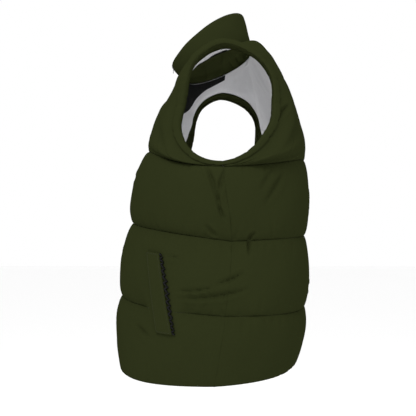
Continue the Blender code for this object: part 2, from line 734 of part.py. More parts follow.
def make_slider():
    """An I-shaped body that the tapes run through, with a bail for the pull."""
    middle, along, out = slider_place()
    across = Vector((1, 0, 0))
    wide, web, slot, deep = SLIDER_HALF_WIDTH, SLIDER_WEB, SLIDER_SLOT, SLIDER_HALF_DEPTH
    half_outline = ((wide, -deep), (wide, -slot), (web, -slot),
                    (web, slot), (wide, slot), (wide, deep))
    outline = [middle + across * x + out * z for x, z in half_outline]
    outline += [middle - across * x + out * z for x, z in reversed(half_outline)]
    slider = prism("zip_slider", outline, along, SLIDER_LENGTH, GREY_METAL)

    low, roof = deep - BAIL_BAR / 2, deep + BAIL_EYE
    bail_outline = ((-BAIL_HALF_LENGTH, low), (-BAIL_HALF_LENGTH, roof),
                    (-BAIL_EYE, roof + BAIL_BAR), (BAIL_EYE, roof + BAIL_BAR),
                    (BAIL_HALF_LENGTH, roof), (BAIL_HALF_LENGTH, low),
                    (BAIL_EYE, low), (BAIL_EYE, roof), (-BAIL_EYE, roof), (-BAIL_EYE, low))
    outline = [middle + along * y + out * z for y, z in bail_outline]
    bail = prism("bail", outline, across, BAIL_HALF_WIDTH * 2, GREY_METAL)
    VEST.objects.unlink(bail)
    GUIDES.objects.link(bail)
    bail.hide_render = True
    bail.display_type = "WIRE"
    join = slider.modifiers.new("bail", "BOOLEAN")
    join.operation = "UNION"
    join.object = bail


def make_pull():
    """A flat tab whose cross bar turns inside the bail. It hangs straight down."""
    middle, _, out = slider_place()
    bar = PULL_BAR / 2
    corner = PULL_HALF_WIDTH - PULL_CORNER[0]
    foot = PULL_CORNER[1] - PULL_LENGTH
    shapes = (
        ((-corner, bar), (corner, bar), (PULL_HALF_WIDTH, -bar),
         (PULL_HALF_WIDTH, foot), (corner, -PULL_LENGTH),
         (-corner, -PULL_LENGTH), (-PULL_HALF_WIDTH, foot),
         (-PULL_HALF_WIDTH, -bar)),
        ((-PULL_EYE_HALF, -bar), (-PULL_EYE_HALF, -PULL_EYE_LENGTH),
         (PULL_EYE_HALF, -PULL_EYE_LENGTH), (PULL_EYE_HALF, -bar)),
    )
    curve = bpy.data.curves.new("zip_pull", "CURVE")
    curve.dimensions = "2D"
    curve.fill_mode = "BOTH"
    curve.extrude = PULL_THICK / 2
    for shape in shapes:
        spline = curve.splines.new("POLY")
        spline.points.add(len(shape) - 1)
        for target, (x, y) in zip(spline.points, shape):
            target.co = (x, y, 0, 1)
        spline.use_cyclic_u = True
    curve.materials.append(material_of(GREY_METAL))
    pull = bpy.data.objects.new("zip_pull", curve)
    VEST.objects.link(pull)
    pull.location = middle + out * (SLIDER_HALF_DEPTH + BAIL_EYE / 2)
    pull.rotation_euler = (pi / 2, 0, 0)


VEST, GUIDES = start_scene()
make_panels()
make_collar()
make_neck_facings()
make_armhole_edges()
make_armhole_facings()
make_pockets()
make_zip()
make_slider()
make_pull()
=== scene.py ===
"""Quilted puffer vest: its cloth, filling, zips and stitching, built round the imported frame.

Metres, +Z up. The vest faces -Y and the wearer's left is +X. The cloth is one form with
two ways to walk over it. A row runs round the body from the centre line (u = 0) to the
side seam or the armhole (u = 1). A level climbs the body: 0 at the hem, 1, 2 and 3 at the
quilting lines, 4 at the shoulder seam. Points and directions are NumPy arrays.
"""

from collections import namedtuple
from functools import lru_cache
from math import asin, cos, exp, pi, radians, sin, sqrt

import bmesh
import bpy
import numpy as np
from bpy.props import FloatProperty, FloatVectorProperty, PointerProperty
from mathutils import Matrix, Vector
from mathutils.bvhtree import BVHTree


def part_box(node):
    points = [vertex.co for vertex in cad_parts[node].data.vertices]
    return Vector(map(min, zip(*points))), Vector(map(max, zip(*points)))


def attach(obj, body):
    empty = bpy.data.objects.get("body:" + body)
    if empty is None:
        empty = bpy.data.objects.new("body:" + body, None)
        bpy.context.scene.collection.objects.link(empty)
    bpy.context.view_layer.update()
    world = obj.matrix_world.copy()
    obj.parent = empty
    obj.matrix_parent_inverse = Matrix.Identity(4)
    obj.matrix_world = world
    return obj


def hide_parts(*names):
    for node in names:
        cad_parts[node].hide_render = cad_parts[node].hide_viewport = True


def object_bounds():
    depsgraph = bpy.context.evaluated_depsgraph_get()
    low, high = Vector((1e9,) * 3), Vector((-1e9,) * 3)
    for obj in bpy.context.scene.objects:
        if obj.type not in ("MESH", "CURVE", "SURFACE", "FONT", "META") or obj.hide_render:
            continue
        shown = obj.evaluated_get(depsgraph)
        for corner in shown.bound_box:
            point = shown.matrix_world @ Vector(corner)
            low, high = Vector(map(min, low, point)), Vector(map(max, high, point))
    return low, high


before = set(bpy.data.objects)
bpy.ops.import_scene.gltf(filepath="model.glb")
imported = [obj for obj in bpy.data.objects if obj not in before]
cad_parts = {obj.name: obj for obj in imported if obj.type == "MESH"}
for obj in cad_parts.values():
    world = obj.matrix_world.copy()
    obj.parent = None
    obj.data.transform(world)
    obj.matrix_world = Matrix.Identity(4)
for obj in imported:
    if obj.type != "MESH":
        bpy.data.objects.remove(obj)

bl_info = {
    "name": "Quilted puffer vest",
    "version": (1, 0, 0),
    "blender": (4, 5, 0),
    "location": "View3D > Sidebar > Vest",
    "description": "Makes the padded panels, lining, collar, zips and stitching of a puffer vest",
    "category": "Object",
}

CAD_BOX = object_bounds()
MM = 0.001

# ---- the form in metres: the frame's, with edges and corners that are finer to the eye -------

GAP = 0.0003             # between pieces that a seam joins
SEAM_Y = 0.00005         # half of what still shows of the gap at the side and shoulder seams
ZIP_HALF = 0.0072        # centre line to the front edge beside the zip

Ring = namedtuple("Ring", "level front_y front_z side_x side_y side_z back_y back_z")
RINGS = (                # the inner face at the hem and at each quilting line
    Ring(0, -0.186, -0.585, 0.207, -0.024, -0.583, 0.122, -0.564),
    Ring(1, -0.190, -0.452, 0.222, -0.006, -0.470, 0.139, -0.470),
    Ring(2, -0.171, -0.319, 0.218, 0.004, -0.353, 0.139, -0.342),
    Ring(3, -0.141, -0.187, 0.224, -0.010, -0.234, 0.141, -0.203),
)

NECK_HALF_X = 0.085      # neck seam: half width, ends on the centre line, lift
NECK_FRONT_Y = -0.082
NECK_BACK_Y = 0.052
NECK_RISE = 0.400        # z = rise * y - sag * y * y
NECK_SAG = 0.300
NECK_LEVEL = 3.57        # where the rows leave the centre line

Hole = namedtuple("Hole", "x y z lean roll")
ARMHOLE = (              # middle and radius of the rolled edge, from underarm to front to back
    Hole(0.2245, -0.011, -0.2285, 0.00, 0.0035),
    Hole(0.2215, -0.056, -0.216, 0.30, 0.0045),
    Hole(0.1945, -0.082, -0.1735, 0.60, 0.0060),
    Hole(0.184, -0.076, -0.122, 0.76, 0.0070),
    Hole(0.187, -0.067, -0.078, 0.85, 0.0075),
    Hole(0.192, -0.048, -0.047, 0.90, 0.0075),
    Hole(0.195, -0.006, -0.027, 0.94, 0.0075),
    Hole(0.191, 0.044, -0.046, 0.92, 0.0075),
    Hole(0.188, 0.071, -0.080, 0.84, 0.0075),
    Hole(0.191, 0.076, -0.124, 0.72, 0.0070),
    Hole(0.203, 0.070, -0.1655, 0.55, 0.0060),
    Hole(0.226, 0.035, -0.211, 0.28, 0.0045),
)
ARMHOLE_MIDDLE = (-0.004, -0.130)     # y, z
ARMHOLE_TOP = 6          # station on the shoulder seam
EDGE_TO_ROLL = 1.73      # thickness of the panel's edge to the roll's radius
ROLL_GAP = 0.0007

Row = namedtuple("Row", "level reach_in turn_in fall_in reach_out")
FRONT_ROWS = (           # how a row leaves the centre and reaches its outer end
    Row(0, 0.150, 0, 0, 0.120),
    Row(3, 0.140, 0, 0, 0.095),
    Row(3.3, 0.100, 4, 6, 0.035),
    Row(NECK_LEVEL, 0.055, 6, 26, 0.012),
    Row(4, 0.030, 0, 12, 0.030),
)
BACK_ROWS = (
    Row(0, 0.150, 0, 0, 0.105),
    Row(3, 0.150, 0, 0, 0.105),
    Row(3.3, 0.115, 0, 0, 0.055),
    Row(NECK_LEVEL, 0.070, -2, 8, 0.040),
    Row(4, 0.030, 0, 12, 0.030),
)
NORMAL_LEVEL = 3.4       # rows crowd below this at the underarm, so normals are blended
SEAM_SHARE = 0.1         # normals are shared over this end of a row at the side seam,
SEAM_LEVELS = 0.11       # over these levels at the shoulder seam,
CENTRE_SHARE = 0.03      # and face straight ahead over this start of a row
DIP_POWER = 1.2
ARMHOLE_RAISE = 0.0070   # how far the shoulder's edge is pressed thin from below
ROLL_FLAT_AT = 6.6       # station where the edge is flattest, and the stations to each side
ROLL_FLAT_REACH = 2.6
SETTLE_LEVELS = 0.06     # the corner of the side seam turns into the armhole over these,
TURN_LEVELS = 0.32       # the rows' outer ends turn from the side seam's way over these,
FREE_LEVELS = 0.5        # and the rows leave the level of a quilting line over these
FRONT_BOW = -0.004
BACK_BOW = 0.008

LINE_THICK = 0.0045      # two layers and the squeezed filling, at a quilting line
FRONT_CREST = (0.017, 0.017, 0.021, 0.018)    # filling in each channel, hem channel first
BACK_CREST = (0.014, 0.014, 0.015, 0.023)
HEM_THICK = 0.008
SHOULDER_THICK = 0.010
CENTRE_THICK = 0.008
CENTRE_EASE = 0.030
NECK_THICK = 0.007
EDGE_EASE = 0.045
SIDE_EASE = 0.30         # share of a row in which front and back come to one thickness
YOKE_CREST_AT = 0.36
YOKE_FULL_HEIGHT = 0.16  # a yoke lower than this is less full, down to YOKE_LEAST
YOKE_LEAST = 0.2
Taper = namedtuple("Taper", "level most")
FRONT_TAPER = Taper(3.30, 0.55)       # how much thinner a panel is beside the neck, from level
BACK_TAPER = Taper(3.70, 0.45)        # up, over TAPER_LEVELS
TAPER_LEVELS = 0.20
TAPER_FULL = 0.03        # it is full this far along a row, and gone after TAPER_EASE more
TAPER_EASE = 0.06

LINING_THICK = 0.0010
LINING_GAP = 0.0009
UNDERARM_SLACK = 0.0025
SLACK_LEVEL = 3.12
SLACK_REACH = 0.25
LINING_HEM_LEVEL = 0.1
FACING_THICK = 0.0008
REST_OFF = 0.0009        # between a flat sewn-on piece and the cloth below it
Reach = namedtuple("Reach", "level u")
NECK_FACING = (          # how far the neck facing reaches along its rows
    Reach(3.28, 0.05), Reach(3.36, 0.10), Reach(3.42, 0.22), Reach(3.50, 0.35),
    Reach(3.57, 0.45), Reach(3.65, 0.46), Reach(3.75, 0.36), Reach(3.85, 0.24), Reach(4, 0.20),
)
LINING_FLAT = 0.028      # how far the lining lies flat beside the armhole

COLLAR_HEIGHTS = (0, 0.25, 0.6, 0.92, 1)
COLLAR_THICK = (0.0050, 0.0085, 0.0090, 0.0085, 0.0040)
NECK_GAP = 0.0003
COLLAR_TOP_HALF_X = 0.073
COLLAR_TOP_FRONT = (-0.108, -0.008)   # y, z
COLLAR_TOP_BACK = (0.036, 0.092)
COLLAR_CROWN = 0.009

Pocket = namedtuple("Pocket", "u level")
POCKET_TOP = Pocket(0.620, 1.71)
POCKET_FOOT = Pocket(0.765, 0.71)
POCKET_LEVELS = POCKET_TOP.level - POCKET_FOOT.level
POCKET_FLAT = 0.016
POCKET_EASE = 0.030
POCKET_MARGIN = 0.004
LEVEL_HEIGHT = 0.135     # metres of cloth to a level, beside the pocket
YOKE_HEIGHT = 0.39       # and in the yoke of the back
WELT_WIDTH = 0.030
WELT_THICK = 0.0030
WELT_OFF = 0.0012
POCKET_ZIP_WIDTH = 0.0055

ZIP_OUT = 0.0042
TAPE_THICK = 0.0010
TAPE_UNDER = 0.0012      # how far the seam's edge covers the tape
SLIDER_LENGTH = 0.0100
COLLAR_ZIP_HEIGHTS = (0.22, 0.45, 0.7, 1)

# ---- fineness of the visible meshes ----------------------------------------------------------

CHANNEL_ROWS = 48        # rows of faces in a quilted channel
YOKE_ROWS = 64           # between the top quilting line and the foot of the neck
NECK_ROWS = 36
FRONT_COLUMNS = 112
BACK_HALF_COLUMNS = 104
INNER_STEP = 4           # the hidden inner face is this much coarser

# ---- creases and gathers ---------------------------------------------------------------------

Crease = namedtuple("Crease", "face start middle end width depth")
CREASES = (              # in mm: side faces give (y, z), the front and back give (x, z)
    Crease("left", (-38, -231), (-24, -266), (-9, -322), 3.4, 2.0),
    Crease("left", (-2, -233), (-13, -262), (-17, -294), 3.4, 1.7),
    Crease("left", (92, -238), (76, -266), (54, -298), 4.0, 2.0),
    Crease("left", (72, -236), (62, -252), (46, -276), 3.2, 1.5),
    Crease("left", (106, -124), (92, -138), (72, -158), 4.0, 2.2),
    Crease("left", (44, -340), (33, -350), (32, -378), 3.0, 2.4),
    Crease("left", (-38, -326), (-28, -338), (-17, -346), 3.2, 1.8),
    Crease("left", (-17, -296), (-12, -309), (-3, -320), 3.0, 1.4),
    Crease("left", (26, -400), (4, -412), (-22, -420), 3.6, 2.0),
    Crease("left", (34, -424), (-18, -438), (-94, -443), 4.2, 2.2),
    Crease("left", (-24, -424), (-52, -430), (-86, -430), 3.0, 1.5),
    Crease("left", (-112, -371), (-98, -376), (-74, -381), 2.8, 1.6),
    Crease("left", (-112, -383), (-101, -387), (-84, -391), 2.6, 1.3),
    Crease("left", (-152, -488), (-138, -501), (-116, -512), 3.8, 2.4),
    Crease("right", (-36, -236), (-22, -262), (-24, -290), 3.5, 2.6),
    Crease("right", (6, -233), (2, -252), (-8, -272), 3.5, 2.8),
    Crease("right", (92, -252), (76, -274), (70, -292), 6.2, 2.2),
    Crease("right", (98, -132), (88, -148), (72, -160), 4.3, 2.4),
    Crease("right", (24, -350), (20, -362), (25, -383), 2.8, 2.0),
    Crease("right", (-44, -322), (-30, -336), (-22, -345), 3.5, 2.0),
    Crease("right", (40, -398), (12, -414), (-10, -418), 4.2, 2.0),
    Crease("right", (12, -432), (-36, -442), (-84, -441), 4.3, 3.0),
    Crease("right", (-110, -376), (-94, -378), (-76, -386), 2.8, 1.7),
    Crease("right", (-148, -486), (-134, -500), (-118, -509), 4.2, 2.7),
    Crease("front", (28, -214), (52, -232), (88, -240), 5.0, 2.0),
    Crease("front", (-36, -204), (-64, -226), (-92, -228), 5.0, 2.2),
    Crease("front", (24, -356), (40, -372), (70, -380), 4.3, 1.8),
    Crease("front", (-26, -336), (-48, -356), (-72, -360), 4.3, 2.0),
    Crease("front", (22, -470), (44, -486), (58, -510), 4.3, 1.8),
    Crease("front", (-24, -488), (-50, -494), (-82, -512), 5.0, 2.2),
    Crease("front", (120, -150), (100, -176), (92, -196), 5.0, 2.0),
    Crease("front", (-114, -146), (-104, -168), (-86, -190), 5.0, 2.2),
    Crease("back", (-60, -224), (-20, -236), (30, -230), 5.6, 2.2),
    Crease("back", (70, -262), (96, -280), (104, -312), 5.0, 2.0),
    Crease("back", (-84, -352), (-52, -372), (-44, -396), 4.3, 2.2),
    Crease("back", (30, -420), (64, -436), (110, -434), 5.0, 2.4),
    Crease("back", (-110, -430), (-84, -444), (-48, -446), 4.3, 2.0),
    Crease("back", (52, -492), (60, -516), (84, -536), 5.0, 2.0),
    Crease("back", (-30, -498), (-40, -524), (-66, -540), 4.3, 1.8),
    Crease("back", (44, -62), (62, -98), (60, -140), 5.6, 2.2),
    Crease("back", (-50, -70), (-58, -110), (-78, -138), 5.6, 2.0),
)
FACE_WAYS = {"left": (0, 1), "right": (0, -1), "front": (1, -1), "back": (1, 1)}
CREASE_POINTS = 25       # along a crease's curve
CREASE_REACH = 3.5       # in crease widths
RIDGE_HEIGHT = 0.30      # of the low ridge beside a crease, as a share of the crease's depth
RIDGE_AWAY = 1.9         # and where it stands, in crease widths
RIDGE_WIDTH = 0.8
RIPPLE_LENGTH = 0.055    # of the filling's soft unevenness
SOFT_OVER = 0.006        # cloth this much thicker than a quilting line takes creases fully
MOST_SUNK = 0.6          # the deepest crease, as a share of the thickness

GATHER_FIRST = (0.004, 0.012)    # least and most of each, for the gathers at a quilting line
GATHER_EVERY = (0.007, 0.024)
GATHER_REACH = (0.008, 0.034)
GATHER_WIDTH = (0.0022, 0.0048)
GATHER_LEAN = (-0.5, 0.5)
GATHER_DEPTH = (0.25, 1.0)       # share of the deepest
HEM_GATHER = 0.6                 # the hem's gathers reach this share as far


# ---- curves ----------------------------------------------------------------------------------

def smooth(t):
    """Ease from 0 to 1."""
    t = np.clip(t, 0.0, 1.0)
    return t * t * (3 - 2 * t)


def round_over(distance, radius):
    """Quarter circle: 0 at an edge, 1 at radius and beyond."""
    back = 1 - np.clip(distance / radius, 0.0, 1.0)
    return np.sqrt(1 - back * back)


def unit(vectors):
    return vectors / np.linalg.norm(vectors, axis=-1, keepdims=True)


def mix(a, b, share):
    share = np.asarray(share, float)
    if np.ndim(a) > share.ndim:
        share = share[..., None]
    return a + (b - a) * share


def catmull(p0, p1, p2, p3, t):
    """Catmull-Rom between p1 and p2."""
    return 0.5 * (2 * p1 + (p2 - p0) * t + (2 * p0 - 5 * p1 + 4 * p2 - p3) * t * t
                  + (3 * p1 - p0 - 3 * p2 + p3) * t ** 3)


def table_value(rows, column, level):
    """A column of a table of rows, read smoothly at any level."""
    keys = [row.level for row in rows]
    values = [getattr(row, column) for row in rows]
    level = min(max(level, keys[0]), keys[-1])
    i = max(k for k in range(len(keys) - 1) if keys[k] <= level)
    t = (level - keys[i]) / (keys[i + 1] - keys[i])
    before = values[i - 1] if i else 2 * values[0] - values[1]
    after = values[i + 2] if i + 2 < len(values) else 2 * values[-1] - values[-2]
    return catmull(before, values[i], values[i + 1], after, t)


def table_line(rows, column, level):
    """A column of a table of rows, read in straight lines between the rows."""
    return np.interp(level, [row.level for row in rows], [getattr(row, column) for row in rows])


def neck_point(angle):
    """The neck seam: angle 0 at the front centre, pi at the back centre."""
    middle = (NECK_FRONT_Y + NECK_BACK_Y) / 2
    y = middle - (NECK_BACK_Y - NECK_FRONT_Y) / 2 * cos(angle)
    return np.array((NECK_HALF_X * sin(angle), y, NECK_RISE * y - NECK_SAG * y * y))


NECK_START = asin(ZIP_HALF / NECK_HALF_X)
NECK_SHOULDER = pi - asin(sqrt(1 - ((NECK_FRONT_Y + NECK_BACK_Y)
                                    / (NECK_BACK_Y - NECK_FRONT_Y)) ** 2))


@lru_cache(maxsize=None)
def armhole_point(station):
    """(middle of the rolled edge, direction to the cloth, its outward normal, its radius)."""
    count = len(ARMHOLE)
    station = station % count
    i = int(station)
    near = [np.array(ARMHOLE[(i + k) % count]) for k in (-1, 0, 1, 2)]
    here = catmull(*near, station - i)
    middle, lean, roll = here[:3], here[3], float(here[4])
    tangent = unit(catmull(*near, station - i + 0.01)[:3] - middle)
    side = unit(np.array((0, middle[1] - ARMHOLE_MIDDLE[0], middle[2] - ARMHOLE_MIDDLE[1])))
    into = side * sqrt(max(0.0, 1 - lean * lean)) - np.array((lean, 0, 0))
    into = unit(into - tangent * into.dot(tangent))
    return middle, into, unit(np.cross(tangent, into)), roll


# ---- the form --------------------------------------------------------------------------------

def is_front(side):
    return side == "front"


def inner_end(side, level):
    """Where a row starts: on the centre line, or on the neck seam above it."""
    seam = NECK_START if is_front(side) else pi
    if level > NECK_LEVEL:
        share = (level - NECK_LEVEL) / (4 - NECK_LEVEL)
        return neck_point(seam + (NECK_SHOULDER - seam) * share)
    x = ZIP_HALF if is_front(side) else 0.0
    if level <= 3:
        return np.array((x, *(table_value(RINGS, f"{side}_{axis}", level) for axis in "yz")))
    share = (level - 3) / (NECK_LEVEL - 3)
    foot = np.array((x, getattr(RINGS[3], f"{side}_y"), getattr(RINGS[3], f"{side}_z")))
    bow = np.array((0, FRONT_BOW if is_front(side) else BACK_BOW, 0)) * sin(pi * share)
    return mix(foot, neck_point(seam), share) + bow


def armhole_station(side, level):
    """Where a row above the underarm meets the armhole."""
    turns = ARMHOLE_TOP * (level - 3)
    return turns if is_front(side) else len(ARMHOLE) - turns


def outer_end(side, level):
    """(end of a row, the way back into the cloth): side seam, then armhole."""
    along = np.array((0, -1.0 if is_front(side) else 1.0, 0))
    if level <= 3:
        return np.array([table_value(RINGS, f"side_{axis}", level) for axis in "xyz"]), along
    middle, into, out, roll = armhole_point(armhole_station(side, level))
    edge = middle + into * (roll + ROLL_GAP) - out * EDGE_TO_ROLL * roll / 2
    foot = np.array((RINGS[3].side_x, RINGS[3].side_y, RINGS[3].side_z))
    end = mix(foot, edge, settled(level))
    return end, unit(mix(along, into, float(smooth((level - 3) / TURN_LEVELS))))


@lru_cache(maxsize=None)
def row_controls(side, level):
    """The four control points of a row's Bezier curve."""
    start = inner_end(side, level)
    end, back = outer_end(side, level)
    rows = FRONT_ROWS if is_front(side) else BACK_ROWS
    turn = radians(table_line(rows, "turn_in", level))
    fall = radians(table_line(rows, "fall_in", level))
    leave = unit(np.array((cos(turn), sin(turn), -sin(fall))))
    return (start, start + leave * table_line(rows, "reach_in", level),
            end + back * table_line(rows, "reach_out", level), end)


def form_row(side, level, u):
    """The inner face of the padding along one row, for an array of u."""
    start, handle_in, handle_out, end = row_controls(side, float(level))
    u = np.asarray(u, float)
    v = 1 - u
    points = (np.outer(v ** 3, start) + np.outer(3 * v * v * u, handle_in)
              + np.outer(3 * v * u * u, handle_out) + np.outer(u ** 3, end))
    late = u ** DIP_POWER
    late += (smooth(u) - late) * smooth(level - 2)
    dip = start[2] + (end[2] - start[2]) * late
    points[:, 2] = dip + (points[:, 2] - dip) * smooth((level - 3) / FREE_LEVELS)
    return points


@lru_cache(maxsize=None)
def row_length(side, level):
    """Rough length of a row, for widths given in metres."""
    points = form_row(side, level, np.linspace(0, 1, 7))
    return float(np.linalg.norm(np.diff(points, axis=0), axis=1).sum())


def settled(level):
    """0 at the top quilting line, 1 where the corner of the side seam has turned."""
    return float(smooth((level - 3) / SETTLE_LEVELS))


def near_armhole(side, level, u):
    """1 at a row's outer end, easing to 0 in the cloth."""
    return 1 - smooth((1 - u) * row_length(side, level) / EDGE_EASE)


def panel_normal(side, level, u):
    """Normal from the panel's own rows and levels."""
    step = 0.02
    low, high = max(level - step, 0), min(level + step, 3 if level <= 3 else 4)
    across = (form_row(side, level, np.minimum(u + step, 1))
              - form_row(side, level, np.maximum(u - step, 0)))
    climb = form_row(side, high, u) - form_row(side, low, u)
    normal = unit(np.cross(across, climb))
    return normal if is_front(side) else -normal


def form_normal(side, level, u):
    """Outward normal of the form, shared by the two panels at their seams."""
    u = np.asarray(u, float)
    above = max(level, NORMAL_LEVEL) if level > 3 else level
    normal = panel_normal(side, above, u)
    settle = settled(level)
    if level > 3:
        slid = np.minimum(u * row_length(side, level) / row_length(side, 3.0), 1)
        share = float(smooth((level - 3) / (NORMAL_LEVEL - 3)))
        normal = mix(panel_normal(side, 3, slid), normal, share)
        near_edge = near_armhole(side, level, u) * settle
        normal = unit(mix(normal, armhole_point(armhole_station(side, level))[2], near_edge))
    other = "back" if is_front(side) else "front"
    near_side = smooth((u - 1 + SEAM_SHARE) / SEAM_SHARE) * (1 - settle)
    near_shoulder = float(smooth((level - 4 + SEAM_LEVELS) / SEAM_LEVELS))
    near_seam = np.maximum(near_side, near_shoulder)
    if near_seam.max() > 0:
        seam_level = min(level, 3) if level < 3.5 else level
        shared = unit(panel_normal(side, seam_level, u) + panel_normal(other, seam_level, u))
        normal = unit(mix(normal, shared, near_seam))
    if level <= NECK_LEVEL:
        normal[:, 0] *= smooth(u / CENTRE_SHARE)
        normal = unit(normal)
    return normal


def pocket_share(level, u):
    """1 under the pocket, easing to 0 around it."""
    drop = (POCKET_TOP.level - level) / POCKET_LEVELS
    slit = POCKET_TOP.u + (POCKET_FOOT.u - POCKET_TOP.u) * min(max(drop, 0), 1)
    length = row_length("front", level)
    aside = abs(u - slit + WELT_WIDTH / 2 / length) * length - WELT_WIDTH / 2 - POCKET_MARGIN
    beyond = max(drop - 1, -drop, 0) * LEVEL_HEIGHT
    return 1 - smooth(np.maximum(np.maximum(aside, beyond), 0) / POCKET_EASE)


def filling(side, level, u):
    """Thickness of the padded wall along one row."""
    channel = min(int(level), 3)
    share = level - channel
    crest = (FRONT_CREST if is_front(side) else BACK_CREST)[channel]
    if channel < 3:
        shared = (FRONT_CREST[channel] + BACK_CREST[channel]) / 2
        crest = crest + (shared - crest) * smooth(1 - (1 - u) / SIDE_EASE)
    if channel == 3:
        rise = min(share / YOKE_CREST_AT, 1)
        puff = LINE_THICK + (crest - LINE_THICK) * sqrt(1 - (1 - rise) ** 2)
        ease = float(smooth((share - YOKE_CREST_AT) / (1 - YOKE_CREST_AT)))
        puff += (SHOULDER_THICK - crest) * ease
        height = np.linalg.norm(form_row(side, 4, u) - form_row(side, 3, u), axis=1)
        puff = LINE_THICK + (puff - LINE_THICK) * smooth(height / YOKE_FULL_HEIGHT + YOKE_LEAST)
    else:
        low = HEM_THICK if channel == 0 else LINE_THICK
        floor = low + (LINE_THICK - low) * share
        puff = floor + (crest - floor) * sqrt(max(0.0, 1 - (2 * share - 1) ** 2)) + 0 * u
    length = row_length(side, level)
    if level > 3:
        edge = EDGE_TO_ROLL * armhole_point(armhole_station(side, level))[3]
        puff = puff + (edge - puff) * near_armhole(side, level, u) * settled(level)
    if is_front(side) and level <= NECK_LEVEL:
        near_zip = 1 - round_over(u * length, CENTRE_EASE)
        puff = puff + (np.minimum(CENTRE_THICK, puff) - puff) * near_zip
    if level > NECK_LEVEL or not is_front(side):
        below = max(NECK_LEVEL - level, 0) * YOKE_HEIGHT
        near_neck = 1 - smooth(np.hypot(u * length, below) / CENTRE_EASE)
        puff = puff + (NECK_THICK - puff) * near_neck
    if is_front(side):
        puff = puff + (POCKET_FLAT - puff) * pocket_share(level, u)
    taper = FRONT_TAPER if is_front(side) else BACK_TAPER
    rising = taper.most * float(smooth((level - taper.level) / TAPER_LEVELS))
    return puff * (1 - rising * (1 - smooth((u * length - TAPER_FULL) / TAPER_EASE)))


def raised(side, level, u):
    """How far the panel's inner face is pressed outwards beside the top of the armhole."""
    if level <= 3:
        return 0 * u
    over = over_shoulder(armhole_station(side, level))
    return ARMHOLE_RAISE * near_armhole(side, level, u) * over


def over_shoulder(station):
    """1 where the armhole passes over the shoulder, easing to 0 along its front and back."""
    return float(smooth(1.4 - abs(station - ROLL_FLAT_AT) / ROLL_FLAT_REACH))


Round = namedtuple("Round", "radius keep")
ROUNDS = {               # an edge's quarter round, and the share of thickness left where it ends
    "zip": Round(0.0045, 0.22),
    "hem": Round(0.0060, 0.25),
    "neck": Round(0.0020, 0.60),
}


NECK_FADE = 0.03         # levels over which the zip's round gives way to the neck's


def rounded_edge(edge, distance):
    """1 inside the panel, falling in a quarter round at a free edge."""
    return ROUNDS[edge].keep + (1 - ROUNDS[edge].keep) * round_over(distance, ROUNDS[edge].radius)


def rounded(side, level, u):
    """The share of its thickness that a panel keeps beside its free edges."""
    length = row_length(side, level)
    share = np.minimum(1.0, rounded_edge("hem", level * LEVEL_HEIGHT) + 0 * u)
    if level > NECK_LEVEL:
        fade = float(smooth((level - NECK_LEVEL) / NECK_FADE))
        share = np.minimum(share, 1 - fade * (1 - rounded_edge("neck", u * length)))
    elif is_front(side):
        share = np.minimum(share, rounded_edge("zip", u * length))
    return share


def outer_row(side, level, u):
    """(point, normal) of the padding's outer face along one row, before any crease."""
    normal = form_normal(side, level, u)
    return form_row(side, level, u) + normal * filling(side, level, u)[:, None], normal


# ---- creases and puckers ---------------------------------------------------------------------

def crease_depth(points, normals):
    """How far each point sinks into a crease, with a low ridge on each side of it."""
    sunk = np.zeros(points.shape[:-1])
    across_of = {"left": points[..., 1], "right": points[..., 1],
                 "front": points[..., 0], "back": points[..., 0]}
    for crease in CREASES:
        axis, sign = FACE_WAYS[crease.face]
        facing = smooth((normals[..., axis] * sign - 0.05) / 0.3)
        if facing.max() <= 0:
            continue
        t = np.linspace(0, 1, CREASE_POINTS)[:, None]
        ends = [np.array(p, float) * MM for p in (crease.start, crease.middle, crease.end)]
        bend = 2 * ends[1] - (ends[0] + ends[2]) / 2
        curve = (1 - t) ** 2 * ends[0] + 2 * t * (1 - t) * bend + t * t * ends[2]
        width = crease.width * MM
        spot = np.stack((across_of[crease.face], points[..., 2]), axis=-1)
        low, high = curve.min(0) - CREASE_REACH * width, curve.max(0) + CREASE_REACH * width
        near = ((spot > low) & (spot < high)).all(-1) & (facing > 0)
        if not near.any():
            continue
        away = np.linalg.norm(spot[near][:, None] - curve[None], axis=-1)
        where = away.argmin(1) / (CREASE_POINTS - 1)
        away = away.min(1) / (width * (0.55 + 0.45 * np.sin(pi * where)))
        taper = np.sin(pi * np.clip(where, 0.0, 1.0)) ** 0.7
        ridge = RIDGE_HEIGHT * np.exp(-((away - RIDGE_AWAY) / RIDGE_WIDTH) ** 2)
        sunk[near] += crease.depth * MM * taper * (np.exp(-away * away) - ridge) * facing[near]
    return sunk


def pucker_depth(side, levels, us, rng, depth):
    """Short uneven gathers that run off each quilting line, for a grid of a panel."""
    sunk = np.zeros((len(levels), len(us)))
    for line in (0, 1, 2, 3):
        length = row_length(side, float(line))
        above = (np.asarray(levels) - line) * LEVEL_HEIGHT
        s = np.asarray(us) * length
        for way in (1, -1):
            if line == 0 and way == -1:
                continue
            at = rng.uniform(*GATHER_FIRST)
            while at < length:
                reach = rng.uniform(*GATHER_REACH) * (HEM_GATHER if line == 0 else 1)
                width = rng.uniform(*GATHER_WIDTH)
                lean = rng.uniform(*GATHER_LEAN)
                deep = depth * rng.uniform(*GATHER_DEPTH)
                t = above * way
                gather = np.where(t > 0, np.exp(-(t / reach) ** 2) * smooth(t / 0.003), 0)
                offset = (s[None] - at - lean * t[:, None]) / width
                sunk += deep * gather[:, None] * np.exp(-offset * offset)
                at += rng.uniform(*GATHER_EVERY)
    return sunk


def ripples(points, rng, wavelength, count=14):
    """Soft uneven noise from -1 to 1 over an array of points."""
    value = np.zeros(points.shape[:-1])
    for _ in range(count):
        way = unit(rng.normal(size=3)) * 2 * pi / (wavelength * rng.uniform(0.6, 1.7))
        value += np.sin(points @ way + rng.uniform(0, 2 * pi))
    return value / sqrt(count)


# ---- meshes ----------------------------------------------------------------------------------

def vest_settings():
    return bpy.context.scene.vest


